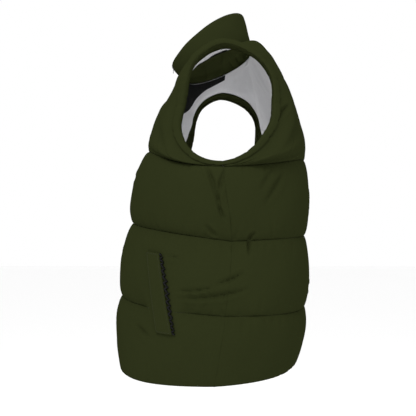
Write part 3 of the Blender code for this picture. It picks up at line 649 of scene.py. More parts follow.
def add_piece(name, verts, faces, material, uvs=None, smooth_angle=50, weld=0):
    """A named mesh object, shaded smooth up to smooth_angle."""
    mesh = bpy.data.meshes.new(name)
    mesh.from_pydata([tuple(v) for v in np.asarray(verts, float)], [], [tuple(f) for f in faces])
    if uvs is not None:
        layer = mesh.uv_layers.new(name="cloth")
        loops = np.zeros(len(mesh.loops), int)
        mesh.loops.foreach_get("vertex_index", loops)
        layer.data.foreach_set("uv", np.asarray(uvs, float)[loops].ravel())
    mesh.validate()
    bm = bmesh.new()
    bm.from_mesh(mesh)
    if weld:
        bmesh.ops.remove_doubles(bm, verts=bm.verts, dist=weld)
    bmesh.ops.recalc_face_normals(bm, faces=bm.faces)
    bm.to_mesh(mesh)
    bm.free()
    mesh.shade_smooth()
    mesh.set_sharp_from_angle(angle=radians(smooth_angle))
    mesh.materials.append(material)
    obj = bpy.data.objects.new(name, mesh)
    bpy.context.scene.collection.objects.link(obj)
    return obj


def grid_faces(rows, columns, start=0, wrap=False):
    """Fours between neighbouring rows of a grid whose points are numbered in order."""
    faces = []
    last = columns if wrap else columns - 1
    for r in range(rows - 1):
        for c in range(last):
            a, b = start + r * columns + c, start + r * columns + (c + 1) % columns
            faces.append((a, b, b + columns, a + columns))
    return faces


def cloth_uvs(grid):
    """UVs in metres along the cloth, so a weave keeps its scale."""
    across = np.linalg.norm(np.diff(grid, axis=1), axis=2)
    along = np.linalg.norm(np.diff(grid, axis=0), axis=2)
    u = np.concatenate([np.zeros((grid.shape[0], 1)), np.cumsum(across, axis=1)], axis=1)
    v = np.concatenate([np.zeros((1, grid.shape[1])), np.cumsum(along, axis=0)], axis=0)
    return np.stack((u, v), axis=-1).reshape(-1, 2)


def wall_parts(outer, inner, step=1, open_rows=0):
    """(verts, faces, uvs) of a wall between two faces. The inner one may be coarser, by
    step. The rim of the first column is left out below open_rows."""
    coarse = inner[::step, ::step]
    rows, columns = outer.shape[:2]
    few_rows, few_columns = coarse.shape[:2]
    verts = np.concatenate([outer.reshape(-1, 3), coarse.reshape(-1, 3)])
    start = rows * columns
    faces = grid_faces(rows, columns) + grid_faces(few_rows, few_columns, start)
    fine = np.arange(start).reshape(rows, columns)
    few = start + np.arange(few_rows * few_columns).reshape(few_rows, few_columns)
    for long, short in ((fine[0], few[0]), (fine[-1], few[-1]), (fine[:, -1], few[:, -1]),
                        (fine[open_rows:, 0], few[open_rows // step:, 0])):
        for k in range(len(short) - 1):
            edge = long[k * step:(k + 1) * step + 1]
            faces.append((short[k + 1], short[k], *edge))
    return verts, faces, np.concatenate([cloth_uvs(outer), cloth_uvs(coarse)])


def wall(name, outer, inner, material, step=1):
    """A closed wall between two faces."""
    verts, faces, uvs = wall_parts(outer, inner, step)
    return add_piece(name, verts, faces, material, uvs)


def joined_wall(name, left, right, material, neck_row, step=1):
    """A closed wall from two halves, which meet on the centre plane up to neck_row."""
    for a, b in zip(left, right):
        a[:neck_row + 1, 0] = b[:neck_row + 1, 0] = (a[:neck_row + 1, 0] + b[:neck_row + 1, 0]) / 2
        a[:neck_row + 1, 0, 0] = b[:neck_row + 1, 0, 0] = 0
    halves = [wall_parts(*half, step, neck_row) for half in (left, right)]
    count = len(halves[0][0])
    faces = halves[0][1] + [tuple(v + count for v in face)[::-1] for face in halves[1][1]]
    verts, uvs = (np.concatenate([half[k] for half in halves]) for k in (0, 2))
    return add_piece(name, verts, faces, material, uvs, weld=2e-6)


def loop_tube(name, rings, material, closed=True):
    """Rings of points joined into a tube: rings[k] is the k-th cross-section."""
    rows, columns = rings.shape[:2]
    if closed:
        rings = np.concatenate([rings, rings[:1]])
        faces = [tuple(v % (rows * columns) for v in face)
                 for face in grid_faces(rows + 1, columns, wrap=True)]
        verts, uvs = rings[:-1].reshape(-1, 3), cloth_uvs(rings[:-1])
    else:
        faces = grid_faces(rows, columns, wrap=True)
        faces += [tuple(range(columns)), tuple(range((rows - 1) * columns, rows * columns))]
        verts, uvs = rings.reshape(-1, 3), cloth_uvs(rings)
    return add_piece(name, verts, faces, material, uvs)


def flip(points):
    """The same points on the wearer's other side."""
    return points * np.array((-1.0, 1.0, 1.0))


def worn(hand, *parts):
    """Parts made for the left side, as the given side wears them."""
    return [flip(part) if hand == "right" else part for part in parts]


def lengths_along(points):
    """The distance from the first of a line of points to each."""
    return np.concatenate([[0], np.cumsum(np.linalg.norm(np.diff(points, axis=0), axis=1))])


def seam_shift(side, level, u):
    """The small step back from the side and shoulder seams."""
    near = np.maximum(smooth((u - 0.98) / 0.02) * (level <= 3.02), float(level > 3.995))
    shift = np.zeros((len(u), 3))
    shift[:, 1] = near * (-SEAM_Y if is_front(side) else SEAM_Y)
    return shift


def crowded(count, pull):
    """count + 1 numbers from 0 to 1, closer together at both ends."""
    t = np.linspace(0, 1, count + 1)
    return t - pull * np.sin(2 * pi * t) / (2 * pi)


def panel_levels():
    """Levels from hem to shoulder, crowded at the quilting lines, one on the neck's foot."""
    half_turn = (1 - np.cos(np.linspace(0, pi, CHANNEL_ROWS + 1))) / 2
    levels = [channel + s for channel in range(3) for s in half_turn[:-1]]
    yoke = np.linspace(0, 1, YOKE_ROWS + 1) ** 1.6
    levels += list(3 + yoke[:-1] * (NECK_LEVEL - 3))
    return levels + list(NECK_LEVEL + crowded(NECK_ROWS, 0.4) * (4 - NECK_LEVEL))


def form_grid(side, levels, us, out):
    """Points of the form moved out by out(side, level, u), and its normals."""
    points, normals = [], []
    for level in levels:
        normal = form_normal(side, level, us)
        row = form_row(side, level, us) + normal * np.asarray(out(side, level, us))[:, None]
        points.append(row + seam_shift(side, level, us))
        normals.append(normal)
    return np.array(points), np.array(normals)


# ---- materials -------------------------------------------------------------------------------

MIX_A, MIX_B, MIXED = 6, 7, 2    # a Mix node's two colours and its result
WAVE_TURNS = 20          # radians of a wave to one unit, at a scale of 1
DIAGONAL_TURNS = 10      # and of a diagonal one, to one unit of x + y + z


def linear(hex_colour):
    """An sRGB hex colour as linear red, green and blue."""
    parts = [int(hex_colour[k:k + 2], 16) / 255 for k in (1, 3, 5)]
    return tuple(c / 12.92 if c <= 0.04045 else ((c + 0.055) / 1.055) ** 2.4 for c in parts)


def add_node(tree, kind, inputs=None, **settings):
    """Adds a node, gives its settings, and sets or links its inputs."""
    node = tree.nodes.new(kind)
    for key, value in settings.items():
        setattr(node, key, value)
    for key, value in (inputs or {}).items():
        if isinstance(value, bpy.types.NodeSocket):
            tree.links.new(value, node.inputs[key])
        else:
            node.inputs[key].default_value = value
    return node


def start_material(name, **values):
    """(material, tree, shader), with values set on the shader's own sockets."""
    material = bpy.data.materials.new(name)
    material.use_nodes = True
    shader = material.node_tree.nodes["Principled BSDF"]
    for key, value in values.items():
        shader.inputs[key.replace("_", " ")].default_value = value
    return material, material.node_tree, shader


def show_pattern(tree, shader, pattern, colour, dark, light, strength=0, height=0):
    """The base colour runs from dark to light times colour with the pattern, which also
    stands height metres proud where it has a strength."""
    tone = add_node(tree, "ShaderNodeMix", {
        "Factor": pattern, MIX_A: (*(c * dark for c in colour), 1),
        MIX_B: (*(c * light for c in colour), 1)}, data_type="RGBA")
    tree.links.new(tone.outputs[MIXED], shader.inputs["Base Color"])
    if strength:
        bump = add_node(tree, "ShaderNodeBump", {
            "Height": pattern, "Strength": strength, "Distance": height})
        tree.links.new(bump.outputs["Normal"], shader.inputs["Normal"])


def weave_height(tree, coords, pitch):
    """Height of a plain weave: two crossed sets of threads, each thread pitch metres wide
    with a gap as wide beside it."""
    sets = []
    for direction in ("X", "Y"):
        wave = add_node(tree, "ShaderNodeTexWave", {
            "Vector": coords, "Scale": pi / WAVE_TURNS / pitch, "Distortion": 0.4,
            "Detail": 1.0}, wave_type="BANDS", bands_direction=direction)
        sets.append(wave.outputs["Fac"])
    higher = add_node(tree, "ShaderNodeMath", {0: sets[0], 1: sets[1]}, operation="MAXIMUM")
    return higher.outputs[0]


def cloth_material(name, colour, pitch, variation, crinkle, weave_depth, **values):
    """Woven cloth from its colour, its thread pitch and how crinkled its surface is."""
    material, tree, shader = start_material(name, **values)
    coords = add_node(tree, "ShaderNodeTexCoord")
    patches = add_node(tree, "ShaderNodeTexNoise", {
        "Vector": coords.outputs["Object"], "Scale": 9.0, "Detail": 3.0})
    dark = tuple(c * (1 - variation) for c in colour)
    light = tuple(c * (1 + variation) for c in colour)
    tone = add_node(tree, "ShaderNodeMix", {
        "Factor": patches.outputs["Fac"], MIX_A: (*dark, 1), MIX_B: (*light, 1)},
        data_type="RGBA")
    weave = weave_height(tree, coords.outputs["UV"], pitch)
    threads = add_node(tree, "ShaderNodeMix", {
        "Factor": weave, MIX_A: (0.96, 0.96, 0.96, 1), MIX_B: (1.02, 1.02, 1.02, 1)},
        data_type="RGBA")
    shade = add_node(tree, "ShaderNodeMix", {
        "Factor": 1.0, MIX_A: tone.outputs[MIXED], MIX_B: threads.outputs[MIXED]},
        data_type="RGBA", blend_type="MULTIPLY")
    tree.links.new(shade.outputs[MIXED], shader.inputs["Base Color"])
    creases = add_node(tree, "ShaderNodeTexNoise", {
        "Vector": coords.outputs["Object"], "Scale": 55.0, "Detail": 4.0, "Distortion": 0.6})
    soft = add_node(tree, "ShaderNodeBump", {
        "Height": creases.outputs["Fac"], "Strength": 1.0, "Distance": crinkle})
    fine = add_node(tree, "ShaderNodeBump", {
        "Height": weave, "Strength": 1.0, "Distance": weave_depth,
        "Normal": soft.outputs["Normal"]})
    tree.links.new(fine.outputs["Normal"], shader.inputs["Normal"])
    return material


def polyester_taffeta():
    """Plain woven polyester taffeta, dyed and calendered: an even colour with no gloss."""
    settings = vest_settings().shell
    # Real threads are 0.1 mm apart. They are drawn 1.1 mm wide, so that they can be seen.
    return cloth_material(
        "polyester taffeta, calendered", tuple(settings.colour), settings.weave_pitch,
        variation=0.05, crinkle=0.0006, weave_depth=0.00001,
        Roughness=0.60, IOR=1.50, Specular_IOR_Level=0.0)


def polyester_lining():
    """Plain woven polyester lining, undyed and soft: pale grey, with a faint gloss on folds."""
    settings = vest_settings().trim
    # Real threads are 0.1 mm apart. They are drawn 1.2 mm wide, so that they can be seen.
    return cloth_material(
        "polyester lining, plain woven", tuple(settings.lining_colour), pitch=0.0012,
        variation=0.05, crinkle=0.0010, weave_depth=0.00003,
        Roughness=0.70, IOR=1.50, Specular_IOR_Level=0.30, Sheen_Weight=0.10)


def warp_knit():
    """Brushed warp-knit tricot: dead black with small open loops."""
    material, tree, shader = start_material(
        "nylon tricot, warp knitted", Roughness=0.85, IOR=1.53, Specular_IOR_Level=0.02)
    coords = add_node(tree, "ShaderNodeTexCoord")
    # Real tricot has a loop every 0.8 mm. It is drawn every 5 mm, so that it can be seen.
    loops = add_node(tree, "ShaderNodeTexVoronoi", {
        "Vector": coords.outputs["UV"], "Scale": 1 / 0.005, "Randomness": 0.5})
    holes = add_node(tree, "ShaderNodeMapRange", {
        "Value": loops.outputs["Distance"], "From Min": 0.15, "From Max": 0.45})
    show_pattern(tree, shader, holes.outputs[0], vest_settings().trim.facing_colour,
                 dark=0.45, light=1.5, strength=0.8, height=0.0004)
    return material


def zip_tape_twill():
    """Polyester twill tape: black, matt, with fine slanting ribs."""
    material, tree, shader = start_material(
        "polyester twill tape", Roughness=0.80, IOR=1.50, Specular_IOR_Level=0.10)
    coords = add_node(tree, "ShaderNodeTexCoord")
    # Real ribs are 0.6 mm apart. They are drawn 5.5 mm apart, so that they can be seen.
    ribs = add_node(tree, "ShaderNodeTexWave", {
        "Vector": coords.outputs["Object"], "Scale": 80.0, "Distortion": 0.3},
        wave_type="BANDS", bands_direction="DIAGONAL")
    show_pattern(tree, shader, ribs.outputs["Fac"], vest_settings().trim.facing_colour,
                 dark=0.7, light=1.3, strength=0.6, height=0.0002)
    return material


def acetal():
    """Moulded acetal: black and waxy, with a soft highlight and a faint mottle."""
    material, tree, shader = start_material(
        "acetal, injection moulded", IOR=1.48, Specular_IOR_Level=0.12)
    coords = add_node(tree, "ShaderNodeTexCoord")
    mottle = add_node(tree, "ShaderNodeTexNoise", {
        "Vector": coords.outputs["Object"], "Scale": 420.0, "Detail": 2.0})
    rough = add_node(tree, "ShaderNodeMapRange", {
        "Value": mottle.outputs["Fac"], "To Min": 0.34, "To Max": 0.52})
    tree.links.new(rough.outputs[0], shader.inputs["Roughness"])
    show_pattern(tree, shader, mottle.outputs["Fac"], linear("#0E0E0F"), dark=0.8, light=1.2)
    return material


def plated_zinc():
    """Die-cast zinc, plated and tumbled: mid grey metal with soft marks."""
    material, tree, shader = start_material("zinc, die cast and plated", Metallic=1.0)
    coords = add_node(tree, "ShaderNodeTexCoord")
    marks = add_node(tree, "ShaderNodeTexNoise", {
        "Vector": coords.outputs["Object"], "Scale": 900.0, "Detail": 5.0, "Distortion": 1.2})
    rough = add_node(tree, "ShaderNodeMapRange", {
        "Value": marks.outputs["Fac"], "To Min": 0.26, "To Max": 0.44})
    tree.links.new(rough.outputs[0], shader.inputs["Roughness"])
    show_pattern(tree, shader, marks.outputs["Fac"], vest_settings().trim.metal_colour,
                 dark=0.85, light=1.1, strength=0.3, height=0.00005)
    return material


def sewing_thread():
    """Core-spun polyester thread: the shell's colour, a little duller, with a twist."""
    material, tree, shader = start_material(
        "polyester thread, core spun", Roughness=0.75, IOR=1.50, Specular_IOR_Level=0.3)
    coords = add_node(tree, "ShaderNodeTexCoord")
    # Real thread twists every 0.5 mm. It is drawn every 2 mm, and still only shows close up.
    twist = add_node(tree, "ShaderNodeTexWave", {
        "Vector": coords.outputs["Object"], "Scale": 2 * pi / DIAGONAL_TURNS / 0.002},
        wave_type="BANDS", bands_direction="DIAGONAL")
    show_pattern(tree, shader, twist.outputs["Fac"], vest_settings().shell.colour,
                 dark=0.75, light=1.15)
    return material


def studio_paper():
    """Matt seamless paper: white, with a mottle too faint to see."""
    material, tree, shader = start_material("seamless paper, matt", Roughness=0.9)
    coords = add_node(tree, "ShaderNodeTexCoord")
    grain = add_node(tree, "ShaderNodeTexNoise", {
        "Vector": coords.outputs["Object"], "Scale": 60.0, "Detail": 3.0})
    show_pattern(tree, shader, grain.outputs["Fac"], linear("#FCFCFC"), dark=0.99, light=1)
    return material


@lru_cache(maxsize=None)
def material_of(kind):
    makers = {"shell": polyester_taffeta, "lining": polyester_lining, "facing": warp_knit,
              "tape": zip_tape_twill, "teeth": acetal, "metal": plated_zinc,
              "thread": sewing_thread, "paper": studio_paper}
    return makers[kind]()


def place(piece, slot, *nodes, body="vest"):
    """The piece rides on its body and stands for its nodes. Its slot is not used."""
    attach(piece, body)
    if nodes:
        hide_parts(*nodes)
    return piece


# ---- padded panels ---------------------------------------------------------------------------

def padded_grid(side, hand, us, seed):
    """(outer, inner) faces of a padded panel, as its own hand wears it."""
    settings = vest_settings().shell
    levels = panel_levels()
    rng = np.random.default_rng(seed)
    outer, normals = form_grid(side, levels, us, lambda *at: filling(*at) * rounded(*at))
    inner, _ = form_grid(side, levels, us, raised)
    away = np.ones((len(levels), len(us)))
    for r, level in enumerate(levels):
        away[r] *= rounded(side, level, us)
        if is_front(side):
            away[r] *= 1 - pocket_share(level, us)
    outer, inner, normals = worn(hand, outer, inner, normals)
    sunk = crease_depth(outer, normals) * settings.crease_depth
    sunk += pucker_depth(side, levels, us, rng, settings.pucker_depth)
    sunk += ripples(outer, rng, RIPPLE_LENGTH) * settings.ripple_depth
    thick = np.linalg.norm(outer - inner, axis=-1)
    soft = smooth((thick - LINE_THICK * 0.9) / SOFT_OVER)
    sunk = np.minimum(sunk * away * soft, thick * MOST_SUNK)
    return outer - normals * sunk[..., None], inner


def make_panel(side):
    material = material_of("shell")
    if is_front(side):
        us = crowded(FRONT_COLUMNS, 0.7)
        for seed, hand in enumerate(("left", "right"), 11):
            outer, inner = padded_grid(side, hand, us, seed)
            panel = wall(f"front_{hand}_padded", outer, inner, material, INNER_STEP)
            place(panel, "shell", f"front_{hand}")
        return
    us = crowded(BACK_HALF_COLUMNS, 0.45)
    halves = [padded_grid(side, hand, us, seed) for seed, hand in enumerate(("left", "right"), 21)]
    panel = joined_wall("back_padded", *halves, material, 3 * CHANNEL_ROWS + YOKE_ROWS, INNER_STEP)
    place(panel, "shell", "back")


# ---- lining and facings ----------------------------------------------------------------------

LINING_ROWS = 116        # up to the foot of the neck
LINING_NECK_ROWS = 24
LINING_LEVELS = np.concatenate([
    np.linspace(LINING_HEM_LEVEL, NECK_LEVEL, LINING_ROWS, endpoint=False),
    np.linspace(NECK_LEVEL, 4, LINING_NECK_ROWS + 1)])
LINING_WAVE = 0.045      # length of the lining's waves across the body,
LINING_FALL = 0.45       # how much shorter they'd be if they didn't run down it,
LINING_RIPPLE = 0.020    # length of the ripples on them,
LINING_HANG = 2.2        # and how far waves and ripples go, by their usual size, to either side
LINING_FRONT_COLUMNS = 60
LINING_BACK_COLUMNS = 56


def lining_depth(side, level, u):
    """How far the middle of the lining lies out from the form, so below zero."""
    near = smooth(1 - abs(level - SLACK_LEVEL) / SLACK_REACH) * smooth(2 * u)
    return raised(side, level, u) - LINING_GAP - LINING_THICK / 2 - UNDERARM_SLACK * near


def facing_depth(side, level, u):
    """How far the middle of a facing lies out from the form, behind the lining."""
    return lining_depth(side, level, u) - (LINING_THICK + FACING_THICK) / 2 - REST_OFF


def lining_grid(side, hand, us, seed):
    """(outer, inner) faces of a lining, hung a little free of the padding in soft waves.
    It lies flat under the facings."""
    rng = np.random.default_rng(seed)
    middle, normals = form_grid(side, LINING_LEVELS, us, lining_depth)
    loose = np.zeros(middle.shape[:2])
    for r, level in enumerate(LINING_LEVELS):
        length = row_length(side, level)
        edge = smooth(((1 - us) * length - LINING_FLAT * (level > 3)) / 0.03)
        loose[r] = edge * smooth(us * length / 0.02)
        loose[r] *= smooth((4 - level) / 0.15) * smooth((level - LINING_HEM_LEVEL) / 0.1)
        if is_front(side):
            faced = smooth((level - NECK_FACING[0].level + 0.12) / 0.1)
            loose[r] *= 1 - faced * (1 - smooth((us - table_line(NECK_FACING, "u", level)) / 0.15))
    middle, normals = worn(hand, middle, normals)
    waves = ripples(middle * (1.0, 1.0, LINING_FALL), rng, LINING_WAVE)
    waves = waves + 0.5 * ripples(middle, rng, LINING_RIPPLE)
    waves = (waves + LINING_HANG).clip(0) / (2 * LINING_HANG)
    sag = -(vest_settings().trim.lining_slack * waves * loose)[..., None]
    middle = middle + normals * sag
    return middle + normals * LINING_THICK / 2, middle - normals * LINING_THICK / 2


def make_linings():
    material = material_of("lining")
    us = crowded(LINING_FRONT_COLUMNS, 0.5)
    for seed, hand in enumerate(("left", "right"), 31):
        outer, inner = lining_grid("front", hand, us, seed)
        piece = wall(f"lining_front_{hand}_cloth", outer, inner, material)
        place(piece, "lining", f"lining_front_{hand}")
    us = crowded(LINING_BACK_COLUMNS, 0.3)
    halves = [lining_grid("back", hand, us, seed) for seed, hand in ((41, "left"), (42, "right"))]
    piece = joined_wall("lining_back_cloth", *halves, material, LINING_ROWS)
    place(piece, "lining", "lining_back")


Cut = namedtuple("Cut", "share flat area")
NECK_FACING_CUTS = {     # share of the full reach drawn, and that cut's size along the neck
    "left": Cut(0.85, (0.080, 0.217), 0.0075),
    "right": Cut(1.00, (0.095, 0.217), 0.0088),
}
Width = namedtuple("Width", "level width")
ARMHOLE_FACING = (       # width of the armhole's facing at stations round it
    Width(0, 0.020), Width(2, 0.024), Width(4, 0.025), Width(5, 0.028), Width(6, 0.030),
    Width(7.3, 0.029), Width(7.6, 0.021), Width(8.2, 0.024), Width(10, 0.026), Width(12, 0.020),
)
FACING_ROWS = 60
FACING_COLUMNS = 24
ARMHOLE_FACING_ROWS = 200
ARMHOLE_FACING_COLUMNS = 8
RAGGED = 0.0022          # how unevenly the armhole facing's inner edge was folded under


def neck_facing(share):
    """(outer, inner) faces of the facing inside the front neckline, on the left, with
    share of its full reach."""
    points, normals = [], []
    for level in np.linspace(NECK_FACING[0].level, 4, FACING_ROWS + 1):
        us = np.linspace(0, share * table_line(NECK_FACING, "u", level), FACING_COLUMNS + 1)
        normals.append(form_normal("front", level, us))
        depth = facing_depth("front", level, us)[:, None]
        points.append(form_row("front", level, us) + normals[-1] * depth)
    middle, lift = np.array(points), np.array(normals) * FACING_THICK / 2
    return middle + lift, middle - lift


def facing_surface():
    """A search tree of the surface that facings lie on, round the left armhole."""
    verts, faces = [], []
    for side in ("front", "back"):
        levels, us = np.linspace(2.75, 4, 90), np.linspace(0.3, 1, 60)
        points, _ = form_grid(side, levels, us, facing_depth)
        faces += grid_faces(len(levels), len(us), len(verts))
        verts += [Vector(point) for point in points.reshape(-1, 3)]
    return BVHTree.FromPolygons(verts, faces)


def armhole_facing(seed):
    """(outer, inner) faces of the ring of cloth turned in over the lining, on the left."""
    rng = np.random.default_rng(seed)
    tree = facing_surface()
    stations = np.linspace(0, len(ARMHOLE), ARMHOLE_FACING_ROWS + 1)
    knots = np.linspace(0, len(ARMHOLE), 34)
    uneven = rng.uniform(-1, 1, len(knots))
    uneven[-1] = uneven[0]
    points, normals = [], []
    for station, waves in zip(stations, np.interp(stations, knots, uneven)):
        middle, into, out, roll = armhole_point(float(station))
        width = table_line(ARMHOLE_FACING, "width", station) + RAGGED * waves
        for step in np.linspace(0, 1, ARMHOLE_FACING_COLUMNS):
            target = middle + into * (roll + ROLL_GAP + width * step) - out * roll
            points.append(tree.find_nearest(Vector(target))[0])
            normals.append(out)
    shape = (len(stations), ARMHOLE_FACING_COLUMNS, 3)
    points, normals = np.array(points).reshape(shape), np.array(normals).reshape(shape)
    lift = normals * FACING_THICK / 2
    return points + lift, points - lift


def make_facings():
    """The black facings of the front neck, and the shell cloth turned in at the armholes."""
    for seed, hand in enumerate(("left", "right"), 45):
        cut = NECK_FACING_CUTS[hand]
        outer, inner = worn(hand, *neck_facing(cut.share))
        piece = wall(f"neck_facing_{hand}_cloth", outer, inner, material_of("facing"))
        place(piece, "black_cloth", f"neck_facing_{hand}")
        outer, inner = worn(hand, *armhole_facing(seed))
        piece = wall(f"armhole_facing_{hand}_cloth", outer, inner, material_of("shell"))
        place(piece, "shell", f"armhole_facing_{hand}")


# ---- collar ----------------------------------------------------------------------------------

COLLAR_COLUMNS = 220
COLLAR_ROWS = 36
COLLAR_PUFF = 0.0012     # the collar's outer face swells this much at half its height
COLLAR_ROUND_FROM = 0.93 # share of its height where its top starts to round over
COLLAR_RIPPLE = 0.0005
COLLAR_RIPPLE_LENGTH = 0.045


def collar_point(angle, height, out):
    """The collar's outer face moved in by -out, height 0 at the seam and 1 at the top."""
    foot = neck_point(angle) + np.array((-sin(angle), cos(angle), 0)) * NECK_GAP
    middle_y = (COLLAR_TOP_FRONT[0] + COLLAR_TOP_BACK[0]) / 2
    y = middle_y - (COLLAR_TOP_BACK[0] - COLLAR_TOP_FRONT[0]) / 2 * cos(angle)
    share = (y - COLLAR_TOP_FRONT[0]) / (COLLAR_TOP_BACK[0] - COLLAR_TOP_FRONT[0])
    z = COLLAR_TOP_FRONT[1] + (COLLAR_TOP_BACK[1] - COLLAR_TOP_FRONT[1]) * share
    top = np.array((COLLAR_TOP_HALF_X * sin(angle), y, z + COLLAR_CROWN * sin(angle) ** 2))
    out_way = np.array((sin(angle), -cos(angle), 0))
    lean = unit(top - foot)
    out_way = unit(out_way - lean * out_way.dot(lean))
    return mix(foot, top, height) + out_way * out, out_way


def collar_start(height):
    """The angle at which the collar's front edge stands beside the zip."""
    half = NECK_HALF_X + (COLLAR_TOP_HALF_X - NECK_HALF_X) * height
    return asin(ZIP_HALF / half)


def collar_section(share):
    """One cross-section of the collar: up its outer face, over the top and down inside."""
    ring = []
    heights = np.linspace(0, COLLAR_ROUND_FROM, COLLAR_ROWS + 1)
    over = np.linspace(0, pi, 9)[1:-1]
    for face, row in (("outer", heights), ("over", over), ("inner", heights[::-1])):
        for value in row:
            height = value
            if face == "over":
                height = COLLAR_ROUND_FROM + (1 - COLLAR_ROUND_FROM) * sin(value)
            start = collar_start(height)
            angle = start + (2 * pi - 2 * start) * share
            full = min(height, COLLAR_ROUND_FROM)
            thick = float(np.interp(full, COLLAR_HEIGHTS, COLLAR_THICK))
            swell = COLLAR_PUFF * sin(pi * min(height, 1))
            if face == "over":
                out = -thick * (1 - cos(value)) / 2
            else:
                out = swell if face == "outer" else -thick
            ring.append(collar_point(angle, height, out)[0])
    return ring


CollarFold = namedtuple("CollarFold", "turn lean height depth width")
COLLAR_FOLDS = (         # degrees from the front centre, and folds on the inner face
    CollarFold(118, 10, 0.34, 3.4, 4.5),
    CollarFold(134, -8, 0.40, 4.4, 5.0),
    CollarFold(152, 6, 0.30, 3.0, 4.5),
    CollarFold(-104, -10, 0.45, 4.2, 5.0),
    CollarFold(-124, 12, 0.36, 3.6, 4.5),
    CollarFold(-140, 8, 0.42, 4.6, 5.5),
    CollarFold(-158, -8, 0.34, 3.6, 4.5),
    CollarFold(50, 4, 0.26, 2.4, 4.0),
    CollarFold(-70, -6, 0.34, 3.0, 4.5),
)


def make_collar():
    shares = crowded(COLLAR_COLUMNS, 0.5)
    rings = np.array([collar_section(share) for share in shares])
    count = COLLAR_ROWS + 1
    inner = slice(rings.shape[1] - count, rings.shape[1])
    heights = np.linspace(COLLAR_ROUND_FROM, 0, count)
    angles = np.degrees(shares * 2 * pi)
    angles = np.where(angles > 180, angles - 360, angles)
    rng = np.random.default_rng(51)
    middle = rings.mean(axis=1, keepdims=True)
    inward = unit((rings[:, inner] - middle) * (1.0, 1.0, 0.0))
    sunk = np.zeros((len(shares), count))
    for fold in COLLAR_FOLDS:
        away = (angles[:, None] - fold.turn - fold.lean * heights) * radians(1) * NECK_HALF_X / MM
        reach = np.exp(-(heights / fold.height / 1.4) ** 2)
        sunk += fold.depth * MM * reach * np.exp(-(away / fold.width) ** 2)
    ends = smooth(np.minimum(shares, 1 - shares) / 0.03)[:, None]
    sunk *= ends * smooth(heights / 0.04)
    rings[:, inner] -= inward * sunk[..., None]
    soft = ripples(rings, rng, COLLAR_RIPPLE_LENGTH) * COLLAR_RIPPLE * ends
    outward = np.stack([np.sin(shares * 2 * pi), -np.cos(shares * 2 * pi), 0 * shares], axis=-1)
    rings += outward[:, None] * soft[..., None]
    rings[0, :, 0], rings[-1, :, 0] = ZIP_HALF, -ZIP_HALF
    piece = loop_tube("collar_padded", rings, material_of("shell"), closed=False)
    place(piece, "shell", "collar")


# ---- armhole edges ---------------------------------------------------------------------------

ROLL_STATIONS = 300
ROLL_AROUND = 24
ROLL_PRESS = 0.25        # how far it bulges towards the panel, by its radius
ROLL_FOOT = 0.0005       # and how much further at the underarm, where the panels part
ROLL_FOOT_STATIONS = 0.45
ROLL_FLAT = 0.75         # how much of its inner half is pressed flat over the shoulder
ROLL_SQUARE = 6.5        # how square the roll is where the panel presses on it; 2 is round
ROLL_GATHER_EVERY = (0.005, 0.015)   # least and most of each, for the gathers round the roll
ROLL_GATHER_WIDTH = (0.0016, 0.0034)
ROLL_GATHER_LEAN = (-0.004, 0.004)
ROLL_GATHER_REACH = (0.7, 1.6)
ROLL_GATHER_DEPTH = (0.3, 1.1)       # in mm
ROLL_LAST = 0.004        # no gather starts this close to the first


def roll_sections(seed):
    """Cross-sections of a rolled edge, puckered where the cloth is gathered round the curve."""
    rng = np.random.default_rng(seed)
    stations = np.linspace(0, len(ARMHOLE), ROLL_STATIONS, endpoint=False)
    around = np.linspace(0, 2 * pi, ROLL_AROUND, endpoint=False)
    places = [armhole_point(float(s)) for s in stations]
    middles = np.array([p[0] for p in places])
    steps = np.linalg.norm(np.diff(middles, axis=0, append=middles[:1]), axis=1)
    at = np.concatenate([[0], np.cumsum(steps)[:-1]])
    total = steps.sum()
    sunk = np.zeros((ROLL_STATIONS, ROLL_AROUND))
    spot = 0.0
    while spot < total - ROLL_LAST:
        width, lean = rng.uniform(*ROLL_GATHER_WIDTH), rng.uniform(*ROLL_GATHER_LEAN)
        turn, reach = rng.uniform(0, 2 * pi), rng.uniform(*ROLL_GATHER_REACH)
        bow = np.cos(around - turn)
        away = (at[:, None] - spot - lean * np.sin(around - turn) + total / 2) % total - total / 2
        sunk += (rng.uniform(*ROLL_GATHER_DEPTH) * MM * np.exp(-(away / width) ** 2)
                 * smooth((bow + reach - 0.6) / reach))
        spot += rng.uniform(*ROLL_GATHER_EVERY)
    swell = 1 + 0.035 * np.sin(at / total * 2 * pi * 7 + rng.uniform(0, 6))
    power = 2 + (ROLL_SQUARE - 2) * smooth(2 * np.cos(around))
    pressed = (abs(np.cos(around)) ** power + abs(np.sin(around)) ** power) ** (-1 / power)
    towards = smooth(2 * np.cos(around))
    pressed += ROLL_PRESS * towards
    rings = []
    for k, (middle, into, out, roll) in enumerate(places):
        foot = min(stations[k], len(ARMHOLE) - stations[k]) / ROLL_FOOT_STATIONS
        radius = (roll * swell[k] - sunk[k]) * pressed + ROLL_FOOT * exp(-foot * foot) * towards
        inward = unit(np.array((0, ARMHOLE_MIDDLE[0] - middle[1], ARMHOLE_MIDDLE[1] - middle[2])))
        facing = np.cos(around) * into.dot(inward) + np.sin(around) * out.dot(inward)
        radius *= 1 - ROLL_FLAT * over_shoulder(stations[k]) * smooth(facing * 1.6)
        rings.append(middle + (np.outer(np.cos(around) * radius, into)
                               + np.outer(np.sin(around) * radius, out)))
    return np.array(rings)


def make_armhole_edges():
    for seed, hand in enumerate(("left", "right"), 61):
        rings = worn(hand, roll_sections(seed))[0]
        piece = loop_tube(f"armhole_roll_{hand}", rings, material_of("shell"))
        place(piece, "shell", f"armhole_edge_{hand}")


# ---- pockets ---------------------------------------------------------------------------------

